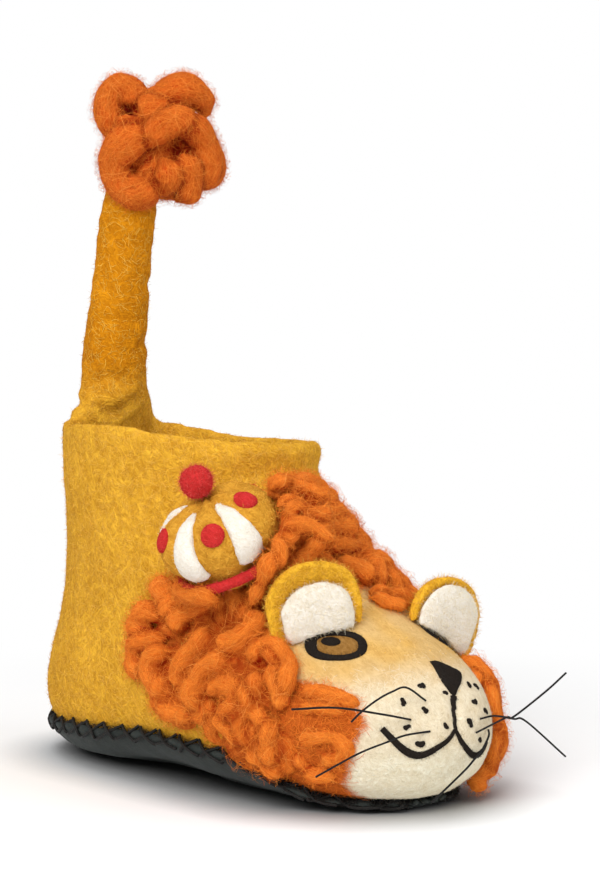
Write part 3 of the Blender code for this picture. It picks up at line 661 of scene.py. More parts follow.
def makeBody():
    rings = []
    turns = np.linspace(0, 2 * math.pi, feltBody["webSides"], endpoint=False)
    for height, across, middle, along in feltBody["web"]:
        rings.append([place(feltBody["webAcross"] + across * math.cos(turn), middle - along * math.sin(turn),
                            height) for turn in turns])
    web = ringMesh(rings)
    points, quads = feltedShape([nodeMesh("upper"), nodeMesh("tail"), web], feltBody["voxel"])
    bpy.data.meshes.remove(web)
    points = relaxed(points, quads, feltBody["relax"])
    normals = normalsOf(points, quads)
    sizes = shoeSizes(points)
    move = feltBody["lump"] * lumps(points, feltBody["lumpSize"], 1)
    move += feltBody["dimple"] * lumps(points, feltBody["dimpleSize"], 2)
    tailLumps = lumps(points * (1, 1, 1.7), feltBody["tailDimpleSize"], 7)
    move += feltBody["tailDimple"] * ease(*feltBody["tailFrom"], sizes[:, 2]) * tailLumps
    rimRise, rimFrom, rimTo, rimMiddle, rimReach = feltBody["toeRim"]  # the chin swells over the sole's edge
    swell = np.exp(-((sizes[:, 2] - rimMiddle) / rimReach) ** 2)
    move += rimRise * ease(rimFrom, rimTo, sizes[:, 1]) * swell * (1 - np.abs(normals[:, 2]))
    for middle, rise, radius in feltBody["bulges"]:
        move += rise * np.exp(-(np.linalg.norm(sizes - np.array(middle), axis=1) / radius) ** 2)
    lipShare, lipReach = feltBody["foldLip"]
    for route, depth, width in feltBody["folds"]:
        distance, share = nearRoute(sizes, smoothRoute(route, 24))
        ends = np.sqrt(np.maximum(np.sin(math.pi * np.clip(share, 0.02, 0.98)), 0))
        move -= depth * ends * np.exp(-(distance / width) ** 2)
        move += lipShare * depth * ends * np.exp(-((distance - lipReach * width) / width) ** 2)
    points = points + normals * move[:, None] * mm
    wave = ease(feltBody["rimFrom"], feltBody["rimTop"], sizes[:, 2])
    wave = wave * (1 - ease(*feltBody["rimFade"], sizes[:, 2]))
    points[:, 2] += feltBody["rimWave"] * mm * wave * lumps(points * (1, 1, 0), feltBody["rimWaveSize"], 5)
    return points, quads


bodyPoints, bodyQuads = makeBody()
bodyNormals = normalsOf(bodyPoints, bodyQuads)
bodyTree = treeOf(bodyPoints, bodyQuads)


# how far each point of the felt is from the felt that it looks at; start and reach in mm
def facing(start, reach):
    rays = zip((bodyPoints + bodyNormals * start * mm).tolist(), bodyNormals.tolist())
    return [bodyTree.ray_cast(spot, way, reach * mm)[3] for spot, way in rays]


# walls of the foot's room
roomHits = facing(*feltBody["roomRay"])
bodyLining = np.array([hit is not None and hit > feltBody["roomWidth"] * mm for hit in roomHits])
bodyTint, bodyContrast, faceShare, creamShare, cheekShare, underShare = faceTints(bodyPoints, ~bodyLining)
bodyFelt = makeFelt("feltOfShoe", tints["mustard"], attribute="feltTint")
bodyPiece = meshPiece("felt_body", bodyPoints, [bodyQuads], bodyFelt, ("upper", "tail"))
layer = bodyPiece.data.attributes.new("feltTint", "FLOAT_COLOR", "POINT")
layer.data.foreach_set("color", np.column_stack((bodyTint, bodyContrast)).astype(np.float32).ravel())
print("felt body", len(bodyQuads) * 2, "triangles")


def scatter(points, quads, count, rng, weights=1.0):  # even random spots on a mesh
    a, b, c, d = (points[quads[:, k]] for k in range(4))
    area = np.linalg.norm(np.cross(c - a, d - b), axis=1) * weights
    pick = rng.choice(len(quads), count, p=area / area.sum())
    u, v = rng.random((2, count, 1))
    spots = (a[pick] * (1 - u) + b[pick] * u) * (1 - v) + (d[pick] * (1 - u) + c[pick] * u) * v
    return spots, unit(np.cross(c - a, d - b))[pick], quads[pick, 0]


woolNames = list(fuzzWools)


def fibres(name, stations, sides, tones, wool):  # thin ribbons through the stations, ending in a point
    count, last = len(tones), len(stations) - 1
    columns = [spot + way * side for spot, side in zip(stations, sides) for way in (-1, 1)]
    points = np.stack(columns + [stations[-1]], 1)
    base = np.arange(count)[:, None] * (2 * last + 1)
    quads = [base + (2 * k, 2 * k + 1, 2 * k + 3, 2 * k + 2) for k in range(last - 1)]
    tips = base + (2 * last - 2, 2 * last - 1, 2 * last)
    piece = meshPiece(name, points.reshape(-1, 3), [np.concatenate(quads), tips], fuzzMaterial)
    low, high = (np.array([fuzzWools[key][k] for key in woolNames])[wool] for k in (0, 1))
    shade = low + (high - low) * tones
    rows = np.linspace(0.1, 0.9, last + 1)

    def mapped(corners):
        spots = [np.column_stack((shade + side * 0.004, np.full(count, rows[k]))) for side, k in corners]
        return np.stack(spots, 1).reshape(-1, 2)

    maps = [mapped(((-1, k), (1, k), (1, k + 1), (-1, k + 1))) for k in range(last - 1)]
    maps.append(mapped(((-1, last - 1), (1, last - 1), (0, last))))
    uv = piece.data.uv_layers.new(name="OFBake")
    uv.data.foreach_set("uv", np.concatenate(maps).astype(np.float32).ravel())
    return piece


# fibres in mm and shares: their root below the face, and how they bend, thin out and stand off it;
# bends give how far along and aside the middle and the tip are
fibreSizes = {
    "width": 0.085, "root": 0.1, "sway": 0.8, "twist": 0.5, "widths": (0.7, 1.3), "thin": 0.8,
    "bends": ((0.55, 0.35), (0.9, 1.0)), "tones": 1.6, "stand": 0.45, "least": 0.05, "turnOut": 0.6,
    "curl": 0.45, "rise": (0.0, 0.8, 1.0, 0.6), "laidTones": 1.5, "laidShade": (0.5, 0.65, 0.13),
}


def fuzz(name, roots, ways, lengths, width, wool, rng):  # loose fibres standing off a face
    count = len(roots)
    side = unit(np.cross(ways, rng.normal(size=(count, 3))))
    bend = unit(np.cross(ways, side) + fibreSizes["twist"] * side * rng.normal(size=(count, 1)))
    lengths = lengths[:, None]
    sway = fibreSizes["sway"] * rng.uniform(-1, 1, (count, 1)) * lengths
    widths = width * mm / 2 * rng.uniform(*fibreSizes["widths"], (count, 1)) * side
    bent = [roots + ways * lengths * run + bend * sway * aside for run, aside in fibreSizes["bends"]]
    tones = rng.beta(fibreSizes["tones"], fibreSizes["tones"], count)
    return fibres(name, (roots, *bent), (widths, fibreSizes["thin"] * widths), tones, wool)


def outwards(ways, normals, least):  # fibres that would grow into the face are turned out
    turned = ways + normals * fibreSizes["turnOut"]
    return unit(np.where((ways * normals).sum(1)[:, None] < least, turned, ways))


# rows give a count, lengths in mm and the wool
def fuzzOn(name, points, quads, row, seed, width=fibreSizes["width"], stand=fibreSizes["stand"]):
    count, length, wool = row
    rng = np.random.default_rng(seed)
    spots, normals, _ = scatter(points, quads, count, rng)
    ways = unit(unit(rng.normal(size=(count, 3))) + normals * stand)
    ways = outwards(ways, normals, fibreSizes["least"])
    lengths = rng.uniform(*length, count) * mm
    kinds = np.full(count, woolNames.index(wool))
    return fuzz(name, spots - normals * fibreSizes["root"] * mm, ways, lengths, width, kinds, rng)


# fibres lying curled on a face; rows give a count, lengths, lift and width in mm, wander, wool and seed
def laidFuzz(name, skin, row, weights):
    count, length, lift, width, wander, wool, seed = row
    rng = np.random.default_rng(seed)
    spots, _, corner = scatter(skin["points"], skin["quads"], count, rng, weights)
    tree = treeOf(skin["points"], skin["quads"])
    heading = skin["ways"][corner] * rng.choice((-1, 1), (count, 1))
    heading = unit(heading + wander * rng.normal(size=(count, 3)))
    curl = rng.normal(0, fibreSizes["curl"], (count, 1))
    steps = len(fibreSizes["rise"]) - 1
    step = rng.uniform(*length, (count, 1)) / steps * mm
    rise = rng.uniform(*lift, (count, 1)) * mm
    stations, faces = [], []
    for share in fibreSizes["rise"]:
        spots, normals, _ = settleAll(tree, spots)
        stations.append(spots + normals * rise * share)
        faces.append(normals)
        heading = heading - normals * (heading * normals).sum(1)[:, None]
        heading = unit(unit(heading) + curl * np.cross(normals, heading))
        spots = spots + heading * step
    sides = [unit(np.cross(faces[k], stations[k + 1] - stations[k])) * width / 2 * mm for k in range(steps)]
    # tones follow the skin's shade, which on the mane and tuft is painted shade in seams and hollows
    own, shared, darker = fibreSizes["laidShade"]
    tones = own * rng.beta(fibreSizes["laidTones"], fibreSizes["laidTones"], count)
    tones = np.clip(tones + shared * skin["shade"][corner] - darker, 0, 1)
    return fibres(name, stations, sides, tones, np.full(count, woolNames.index(wool)))


def makeBodyFuzz():
    rng = np.random.default_rng(11)
    sizes = shoeSizes(bodyPoints)
    first = bodyQuads[:, 0]
    count, length = feltBody["fuzz"]
    inside = np.array([hit is not None for hit in facing(*feltBody["openRay"])])
    inside = inside & (sizes[:, 2] <= feltBody["rimTop"])
    weight = np.where(inside, feltBody["roomShare"], 1.0) * (1 - feltBody["faceThin"] * faceShare)
    spots, normals, corner = scatter(bodyPoints, bodyQuads, count, rng, weight[first])
    ways = unit(rng.normal(size=(count, 3))) + normals * rng.uniform(*feltBody["fuzzLean"], (count, 1))
    ways = outwards(ways, normals, feltBody["fuzzLeast"])
    lengths = rng.uniform(*length, count) * (1 - feltBody["faceShort"] * faceShare[corner]) * mm
    draw = rng.random(count)
    kinds = np.full(count, woolNames.index("mustard"))
    least, more = feltBody["creamFibres"]
    kinds[draw < faceShare[corner] * (least + more * creamShare[corner])] = woolNames.index("cream")
    kinds[rng.random(count) < faceShare[corner] * cheekShare[corner]] = woolNames.index("orange")
    fuzz("felt_body_fuzz", spots - normals * fibreSizes["root"] * mm, ways, lengths, fibreSizes["width"],
         kinds, rng)
    skin = {"points": bodyPoints, "quads": bodyQuads, "ways": unit(rng.normal(size=bodyPoints.shape)),
            "shade": np.full(len(bodyPoints), feltBody["fibreShade"])}
    plain = weight * (1 - faceShare) * (1 - feltBody["underThin"] * underShare)
    plain = plain * (1 - feltBody["tailThin"] * ease(*zones["tail"], sizes[:, 2]))
    cream = faceShare * creamShare * weight + 1e-6
    behind = sizes[:, 1] - np.interp(headTurn(sizes), mane["turns"], mane["rear"])
    low = sizes[:, 2] < zones["underTop"][0]
    edge = np.exp(-(behind / feltBody["borderReach"]) ** 2) * low * weight + 1e-7
    cheeks = (faceShare * cheekShare) ** 2
    for (name, (slot, *row)), share in zip(feltBody["laid"].items(), (plain, cream, edge, cheeks)):
        laidFuzz(name, skin, row, share[first])


makeBodyFuzz()
print("body fuzz grown")


def emptyStore():
    store = {key: [] for key in ("points", "quads", "tris", "strands", "ways", "lines")}
    return {**store, "tubes": 0, "count": 0}


def addTo(store, points, quads, tris, strands=None, ways=None):
    base = store["count"]
    store["points"].append(points)
    store["quads"].append(np.asarray(quads, int).reshape(-1, 4) + base)
    store["tris"].append(np.asarray(tris, int).reshape(-1, 3) + base)
    store["count"] += len(points)
    for key, value in (("strands", strands), ("ways", ways)):
        if value is not None:
            store[key].append(value)


def joined(store, key):
    return np.concatenate(store[key])


def pieceFrom(store, name, material):
    faces = [joined(store, "quads"), joined(store, "tris")]
    return meshPiece(name, joined(store, "points"), faces, material)


# strands: streaks round and along them, twist, painted shade left in their seams, and mm where they meet or
# sink
strandGrain = {
    "round": 4.5, "along": 0.14, "twist": 0.045, "seam": 0.25, "near": 20, "meet": (-0.2, 1.6),
    "sunk": (0.5, 2.0), "rays": 8, "lean": 1.1, "start": 0.3, "lump": 0.22, "lumpSize": 2.6,
    "ridges": (3, 5, 7), "ridgeDrift": 0.12, "every": 1.3,
}


def openness(points, quads, reach, crease, seed):  # painted shade from ray-cast occlusion: 0 in the gaps of the wool to 1 outside
    rng = np.random.default_rng(seed)
    tree, normals = treeOf(points, quads), normalsOf(points, quads)
    starts = (points + normals * strandGrain["start"] * mm).tolist()
    clear = np.zeros(len(points))
    for way in unit(rng.normal(size=(strandGrain["rays"], 3))):
        aims = unit(normals * strandGrain["lean"] + way).tolist()
        clear += [tree.ray_cast(start, aim, reach * mm)[0] is None for start, aim in zip(starts, aims)]
    return ease(crease, 1.0, clear / strandGrain["rays"])


def strandSpots(points, strands):  # each point in the turning frame of its own strand: round it and along it
    off = points - strands[:, 0:3]
    run = strands[:, 12] + (off * strands[:, 9:12]).sum(1) / mm
    turn = np.arctan2((off * strands[:, 6:9]).sum(1), (off * strands[:, 3:6]).sum(1))
    turn = turn + run * strandGrain["twist"]
    return np.column_stack((strandGrain["round"] * np.cos(turn), strandGrain["round"] * np.sin(turn),
                            run * strandGrain["along"] + strands[:, 13]))


# painted shade in the seams: 0 where two strands meet to 1 on the top of a strand; lines hold place, radius
# and strand
def apart(points, lines):
    finder = finderOf(lines[:, :3])
    found = np.array([[row[1:] for row in finder.find_n(point, strandGrain["near"])] for point in points])
    pick = found[:, :, 0].astype(int)
    gap = (found[:, :, 1] - lines[pick, 3]) / mm
    own = np.argmin(gap, 1)[:, None]
    strand = lines[pick, 4]
    other = np.where(strand == np.take_along_axis(strand, own, 1), np.inf, gap).min(1)
    sunk = ease(*strandGrain["sunk"], np.take_along_axis(gap, own, 1)[:, 0])
    return ease(*strandGrain["meet"], other) * (1 - sunk)


# strands felted together into one soft skin with painted shade in seams and hollows; crease is the openness
# that counts as dark
def matted(store, name, material, sizes, node, seed, buried=None):
    draft = bpy.data.meshes.new("strands")
    faces = joined(store, "quads").tolist() + joined(store, "tris").tolist()
    draft.from_pydata(joined(store, "points").tolist(), [], faces)
    points, quads = feltedShape([draft], sizes["voxel"])
    bpy.data.meshes.remove(draft)
    points = relaxed(points, quads, sizes["relax"])
    rough = strandGrain["lump"] * mm * lumps(points, strandGrain["lumpSize"], seed)
    points = points + normalsOf(points, quads) * rough[:, None]
    if buried is not None:  # what lies inside the felt is left out
        sunk = buried(points)
        quads = quads[~sunk[quads].all(1)]
        used, flat = np.unique(quads, return_inverse=True)
        points, quads = points[used], flat.reshape(-1, 4)
    finder = finderOf(joined(store, "points"))
    near = np.array([finder.find(point)[1] for point in points])
    # painted shade: darker in the seams between strands and where the wool closes over
    seam = strandGrain["seam"]
    shade = seam + (1 - seam) * apart(points, joined(store, "lines"))
    shade = shade * openness(points, quads, sizes["reach"], sizes["crease"], seed)
    skin = {"points": points, "quads": quads, "ways": joined(store, "ways")[near], "shade": shade}
    piece = meshPiece(name, points, [quads], material, (node,))
    layer = piece.data.attributes.new("strandSpot", "FLOAT_VECTOR", "POINT")
    spots = strandSpots(points, joined(store, "strands")[near])
    layer.data.foreach_set("vector", spots.astype(np.float32).ravel())
    layer = piece.data.attributes.new("strandShade", "FLOAT", "POINT")
    layer.data.foreach_set("value", shade.astype(np.float32))
    print(name, len(quads) * 2, "triangles")
    return skin


def addTube(store, path, radii, sides, ups=None, flat=1.0, rng=None, ridge=0.0, seam=True):
    count = len(path)
    ways = unit(np.gradient(path, axis=0))
    if ups is None:
        start = np.cross(ways[0], (0.3, 0.5, 0.8))
        ups = [start / np.linalg.norm(start)]
        for way in ways[1:]:
            up = ups[-1] - way * (ups[-1] @ way)
            ups.append(up / np.linalg.norm(up))
        ups = np.array(ups)
    else:
        ups = unit(ups - ways * (ups * ways).sum(1)[:, None])
    sideways = np.cross(ways, ups)
    turns = np.arange(sides) * 2 * math.pi / sides
    reach = np.repeat(radii[:, None], sides, 1)
    run = runAlong(path)
    strands = None
    if rng is not None:
        twist = turns[None] + run[:, None] / mm * strandGrain["twist"]
        drift = strandGrain["ridgeDrift"]
        for waves in strandGrain["ridges"]:
            phase = rng.uniform(0, 6.3) + run[:, None] / mm * rng.uniform(-drift, drift)
            reach = reach * (1 + ridge * np.sin(waves * twist + phase))
        strands = np.column_stack((path, sideways, ups, ways, run / mm, np.full(count, rng.uniform(0, 400))))
        if seam:
            skip = max(1, round(strandGrain["every"] * mm * count / run[-1]))
            store["lines"].append(np.column_stack((path, radii, np.full(count, store["tubes"])))[::skip])
            store["tubes"] += 1
    out = np.cos(turns)[None, :, None] * sideways[:, None]
    out = out + flat * np.sin(turns)[None, :, None] * ups[:, None]
    points = (path[:, None] + reach[:, :, None] * out).reshape(-1, 3)
    i, j = np.meshgrid(np.arange(count - 1), np.arange(sides), indexing="ij")
    k = (j + 1) % sides
    corners = (i * sides + j, (i + 1) * sides + j, (i + 1) * sides + k, i * sides + k)
    quads = np.stack(corners, 2).reshape(-1, 4)
    head, tail = len(points), len(points) + 1
    points = np.concatenate((points, path[:1], path[-1:]))
    ring = np.arange(sides)
    after = (ring + 1) % sides
    last = (count - 1) * sides
    tris = np.concatenate((np.column_stack((np.full(sides, head), ring, after)),
                           np.column_stack((np.full(sides, tail), last + after, last + ring))))
    along = np.concatenate((np.repeat(ways, sides, 0), ways[:1], ways[-1:]))
    if strands is not None:
        strands = np.concatenate((np.repeat(strands, sides, 0), strands[:1], strands[-1:]))
    addTo(store, points, quads, tris, strands, along)


crown = {
    "foot": (-27.3, 102.8, 70.8), "axis": (-0.47, -0.09, 0.88), "front": (-0.68, 0.73, 0.0), "clear": 17.8,
    "rises": (0.0, 3.8, 8.0, 12.4, 16.2, 18.3, 18.8), "radii": (14.4, 17.4, 18.2, 16.9, 12.9, 6.6, 0.5),
    "dots": [(-79, 13.2), (-7, 13.2), (52, 16.2), (137, 9.0), (209, 11.0)],
    "stripes": [(-43, 1.0), (21, 1.0), (173, 0.8), (245, 1.0)],
    "stripeRise": (18.2, 17.0, 14.0, 10.0, 6.0, 2.0),
    "stripeWidth": (1.6, 4.6, 6.8, 8.4, 9.6, 9.0), "stripeProud": 1.5, "stripeSteps": 26,
    "dotRadius": 3.9, "dotProud": 1.1, "dotSides": 18, "groove": 0.7, "grooveTurns": 5,
    "voxel": 0.8, "relax": 6, "lump": 0.3, "lumpSize": 6.0,
    "bobble": (0.6, 4, 0.3, 4.0), "band": (0.5, 4, 0.2, 4.0),  # voxel, relax, lump and lump size
    "fuzz": {"crown_fuzz": (4200, (0.8, 2.2), "mustard"), "stripe_fuzz": (1800, (0.5, 1.3), "cream"),
             "dot_fuzz": (900, (0.5, 1.3), "red"), "bobble_fuzz": (1500, (0.8, 2.0), "red"),
             "band_fuzz": (1200, (0.6, 1.6), "red")},
}
crownFoot = np.array(place(*crown["foot"]))
crownAxis = unit(np.array((crown["axis"][0], -crown["axis"][1], crown["axis"][2])))
crownFront = np.array((crown["front"][0], -crown["front"][1], crown["front"][2]))
crownFront = unit(crownFront - crownAxis * (crownFront @ crownAxis))
crownRight = np.cross(crownAxis, crownFront)


def crownSpot(turn, rise, reach=None):  # turn in degrees from the side that faces the viewer
    angle = math.radians(turn)
    out = crownFront * math.cos(angle) + crownRight * math.sin(angle)
    reach = np.interp(rise, crown["rises"], crown["radii"]) if reach is None else reach
    return crownFoot + crownAxis * rise * mm + out * reach * mm


# room kept free of wool: ear middles and the ways they face, and mm round the crown and the ears
room = {
    "ears": [((-19.0, 127.0, 59.0), (-0.434, 0.890, -0.139)), ((25.5, 135.0, 51.0), (-0.069, 0.988, -0.139))],
    "earBehind": 4.0, "earBefore": 7.0, "earEdge": (12.5, 15.5),
    "crownFoot": (-6.5, -1.0), "crownTop": (12.0, 22.0), "floor": 0.8,
}


def clearOf(path, radius, crownShare=1.0):  # keeps wool out of the crown and behind the ears
    rise = (path - crownFoot) @ crownAxis
    flat = path - crownFoot - rise[:, None] * crownAxis
    reach = np.linalg.norm(flat, axis=1)
    beside = ease(*room["crownFoot"], rise / mm) * (1 - ease(*room["crownTop"], rise / mm))
    need = crownShare * (crown["clear"] + radius) * mm * beside
    path = path + unit(flat) * np.maximum(need - reach, 0)[:, None]
    for middle, way in room["ears"]:
        way = np.array((way[0], -way[1], way[2]))
        off = path - np.array(place(*middle))
        depth = off @ way
        reach = np.linalg.norm(off - depth[:, None] * way, axis=1) / mm
        push = np.maximum(depth / mm + room["earBehind"] + radius, 0) * (depth < room["earBefore"] * mm)
        push = push * (1 - ease(*room["earEdge"], reach - 0.4 * radius))
        path = path - way * (push * mm)[:, None]
    path[:, 2] = np.maximum(path[:, 2], (radius + room["floor"]) * mm)
    return path


def onHead(turn, share):  # spot and normal on the felt under the mane
    rear, front = (np.interp(abs(turn), mane["turns"], mane[key]) for key in ("rear", "front"))
    middle = place(mane["middleAcross"], rear + (front - rear) * share, mane["middleHeight"])
    way = Vector((math.sin(math.radians(turn)), 0, math.cos(math.radians(turn))))
    spot, normal, _, _ = bodyTree.ray_cast(middle + way * 0.15, -way)
    return np.array(spot), np.array(normal)


def taper(path, radius, tip):  # radii in metres, thin over the last few mm of both ends
    run = runAlong(path) / mm
    ends = np.minimum(run, run[-1] - run)
    return radius * mm * (0.3 + 0.7 * ease(0.0, tip, ends))


# a listed lock resting on the felt, and the felt's normals along it
def lockPath(route, radius, rng, lift):
    path = smoothRoute(places(route), mane["lockSteps"] * len(route))
    spots, ups, _ = settleAll(bodyTree, path)
    for _ in range(4):
        ups[1:-1] = unit(ups[:-2] + ups[1:-1] * 2 + ups[2:])
    step = np.arange(len(path))
    wave = mane["lockWave"] * np.sin(step / mane["waveSteps"] + rng.uniform(0, 6))
    wave = wave + lift + mane["lockRise"] * radius
    ends = mane["endSunk"] * (1 - ease(0, mane["endSteps"], np.minimum(step, len(path) - 1 - step)))
    return spots + ups * ((wave - ends) * mm)[:, None], ups


def curlPath(rng):  # a loose curl lying low, filling between the locks
    top, low = mane["curlTurns"]
    if rng.random() < mane["curlSides"]:
        turn = rng.uniform(top, low) * rng.choice((-1, 1))
    else:
        turn = rng.uniform(-top, top)
    spot, up = onHead(turn, rng.uniform(*mane["curlAlong"]))
    first = unit(np.cross(up, rng.normal(size=3)))
    second = np.cross(up, first)
    radius = rng.uniform(*mane["curlRadius"])
    angles = np.linspace(0, 2 * math.pi * rng.uniform(*mane["curlRounds"]), mane["curlSteps"])
    grow = radius * (1 - mane["curlShrink"] * angles / angles[-1])
    lift = rng.uniform(-mane["curlTilt"], mane["curlTilt"]) * np.cos(angles) - mane["curlSunk"]
    flat = first * (grow * np.cos(angles))[:, None] + second * (grow * np.sin(angles))[:, None]
    return spot + (flat + up * lift[:, None]) * mm


def feltDepth(points):  # mm below the felt's outer face, negative outside; anything nearer the lining is deep
    spots, normals, faces = settleAll(bodyTree, points)
    depth = ((spots - points) * normals).sum(1) / mm
    return np.where(bodyLining[bodyQuads[faces, 0]], mane["deep"], depth)


def makeMane():
    rng = np.random.default_rng(mane["seed"])
    store = emptyStore()
    laid = []
    for group, lift, bothSides in mane["groups"]:
        for radius, route in mane[group]:
            laid.append((*lockPath(route, radius, rng, lift), radius))
            if bothSides:
                across = [(2 * mane["middleAcross"] - x, y, z) for x, y, z in route]
                laid.append((*lockPath(across, radius, rng, lift), radius))
    for radius, route in mane["nestLocks"]:
        path = smoothRoute([crownSpot(*spot) for spot in route], mane["lockSteps"] * len(route))
        laid.append((path, None, radius))
    for path, ups, radius in laid:
        path = clearOf(path, radius, 0.0)
        size = mane["swell"] * (1 + mane["uneven"] * np.sin(np.arange(len(path)) / 5 + rng.uniform(0, 6)))
        radii = taper(path, radius, mane["lockTip"]) * size
        addTube(store, path, radii, mane["sides"], ups, rng=rng, ridge=mane["ridge"])
    for _ in range(mane["fillers"]):
        radius = rng.uniform(*mane["curlStrand"])
        path = clearOf(curlPath(rng), radius)
        radii = taper(path, radius, mane["curlTip"])
        addTube(store, path, radii, mane["sides"], rng=rng, ridge=mane["ridge"])
    wool = makeRoving("combedManeWool", *mane["wool"])
    skin = matted(store, "mane_wool", wool, mane["skin"], "mane", 23,
                  lambda points: feltDepth(points) > mane["buried"])
    outside = (feltDepth(skin["points"]) < mane["bare"]) * skin["shade"] + 0.02
    for name, row in mane["laid"].items():
        laidFuzz(name, skin, row, outside[skin["quads"][:, 0]])


makeMane()
print("mane felted")

# tuft: curls on the tail's end, each a route in mm from the middle and a radius;
# its spots are right, towards the viewer and up
tuft = {
    "middle": (12.5, 25.5, 191.0), "right": (0.731, 0.682), "towards": (-0.682, 0.731),
    "sides": 18, "steps": 46, "swell": 1.06, "uneven": 0.15, "tip": 5.0, "ridge": 0.024, "dim": 0.7,
    "core": 6.0,  # curls of this radius or more only fill the inside
    "skin": {"voxel": 0.7, "relax": 2, "reach": 8.0, "crease": 0.25},
    # painted shade colour for the gaps, then deep, plain and pale wool
    "wool": ((0.24, 0.007, 0.001), (0.42, 0.026, 0.002), (0.60, 0.088, 0.006), (0.88, 0.27, 0.04)),
    "laid": {
        "tuft_combed": (5000, (3.0, 7.0), (0.05, 0.4), 0.10, 0.2, "orange", 34),
        "tuft_fuzz": (4200, (3.0, 7.0), (0.5, 2.2), 0.075, 1.2, "orange", 32),
        "tuft_strays": (450, (5.0, 10.0), (0.6, 2.4), 0.085, 1.5, "stray", 35),
    },
    "curls": [
        ([(-10, 0, 0), (-15, 2, 6), (-16, 2, 13), (-12.5, 2, 18), (-8, 1.5, 15.5), (-7, 1, 9)], 3.9),
        ([(-3, 5, 3), (-9, 7, 0), (-13.5, 6, -6), (-12.5, 6, -13), (-6.5, 8, -16), (-2, 8, -11)], 5.2),
        ([(-3, 9, -2), (1, 9.5, 4.5), (6.5, 9, 5.5), (9, 8, 0.5)], 4.6),
        ([(1, 9, -5), (3.5, 10, -11), (1.5, 8, -17)], 4.2), ([(-5, 8, 6), (-9, 7, 5.5), (-12, 5, 1.5)], 3.2),
        ([(7, 9, -4), (10, 8.5, -10), (8.5, 6, -15.5), (5, 5, -18.5)], 4.2),
        ([(6, 7, 4), (12, 6, 3), (14.5, 3, -3), (13, 2, -10), (9, 3, -14)], 5.0),
        ([(-3, 0, 11), (2, 2, 14.5), (8, 1, 16), (13, -1, 13), (15, -2, 8)], 4.8),
        ([(8, -4, 4), (14, -5, -2), (15, -4, -9), (11, -3, -15)], 4.8),
        ([(-8, -6, -6), (-12, -9, 3), (-5, -11, 9), (5, -11, 9), (10, -9, 0)], 5.2),
        ([(-10, -5, -11), (-4, -10, -13), (6, -10, -12), (12, -5, -9)], 5.0),
        ([(-6, 3, 7), (-1, 5, 10), (5, 4, 9)], 4.8),
        ([(0, 0, -17), (0, 0, -6), (0, 0, 4), (0, 0, 12)], 8.0),
        ([(8, -2, -13), (8, -1, -3), (7, -1, 9)], 6.6),
        ([(-7, -2, -12), (-7, -1, 4)], 6.4), ([(0, -7, -12), (0, -8, 0), (0, -6, 9)], 6.6),
        ([(-9, -6, 8), (-3, -9, 13), (4, -8, 13)], 4.2), ([(2, -12, -2), (7, -12, -6), (9, -9, -12)], 4.2),
    ],
}


def makeTuft():
    rng = np.random.default_rng(31)
    store = emptyStore()
    for route, radius in tuft["curls"]:
        spots = []
        for right, towards, up in route:
            across = tuft["middle"][0] + right * tuft["right"][0] + towards * tuft["towards"][0]
            along = tuft["middle"][1] + right * tuft["right"][1] + towards * tuft["towards"][1]
            spots.append(place(across, along, tuft["middle"][2] + up))
        path = smoothRoute(spots, tuft["steps"])
        wave = np.sin(np.arange(tuft["steps"]) / 5 + rng.uniform(0, 6))
        radii = taper(path, 1.0, tuft["tip"]) * (tuft["swell"] * radius * (1 + tuft["uneven"] * wave))
        addTube(store, path, radii, tuft["sides"], rng=rng, ridge=tuft["ridge"], seam=radius < tuft["core"])
    wool = makeRoving("combedTuftWool", *tuft["wool"])
    skin = matted(store, "tuft_wool", wool, tuft["skin"], "tail_tuft", 33)
    outside = (skin["shade"] + 0.02)[skin["quads"][:, 0]]
    # the tuft's fibres take the skin's painted shade, darkened further by dim
    skin["shade"] = skin["shade"] * tuft["dim"]
    for name, row in tuft["laid"].items():
        laidFuzz(name, skin, row, outside)


makeTuft()
print("tuft curled")


def softPiece(name, node, voxel, rounds, lump, lumpSize, material, slot, seed):
    points, quads = feltedShape([nodeMesh(node)], voxel)
    points = relaxed(points, quads, rounds)
    points = points + normalsOf(points, quads) * (lump * mm * lumps(points, lumpSize, seed))[:, None]
    return meshPiece(name, points, [quads], material, (node,)), points, quads


earFelt = makeFelt("feltOfEars", tints["ear"])
whiteFelt = makeFelt("whiteWoolFelt", tints["white"], 0.3, 900.0, 0.45)
redFelt = makeFelt("redWoolFelt", tints["red"], 0.7, 900.0)
blackFelt = makeFelt("blackWoolFelt", tints["black"], 0.5, 900.0, 0.6, 0.02)
amberFelt = makeFelt("amberWoolFelt", tints["amber"], 0.9, 900.0)
crownFelt = makeFelt("feltOfCrown", tints["crown"])
ears = {
    "felt": (0.8, 7, 0.35, 6.0), "pad": (0.8, 10, 0.35, 5.0),  # voxel, relax, lump and lump size
    "fuzz": (4200, (1.0, 2.4), "mustard"), "padFuzz": (3600, (0.8, 1.9), "cream"),
}


def makeEars():
    for seed, side in enumerate(("right", "left"), 41):
        _, points, quads = softPiece("felt_ear_" + side, "ear_" + side, *ears["felt"], earFelt,
                                     "mustard_felt", seed)
        fuzzOn("ear_fuzz_" + side, points, quads, ears["fuzz"], seed)
        pad, points, quads = softPiece("wool_pad_" + side, "ear_pad_" + side, *ears["pad"], whiteFelt,
                                       "white_wool", seed + 4)
        fuzzOn("pad_fuzz_" + side, points, quads, ears["padFuzz"], seed + 4)


makeEars()
print("ears set")


needleFelt = {"rings": (0.35, 0.65, 0.88, 1.0), "tuck": 0.35, "depth": 0.9, "lift": 0.1, "sides": 10}


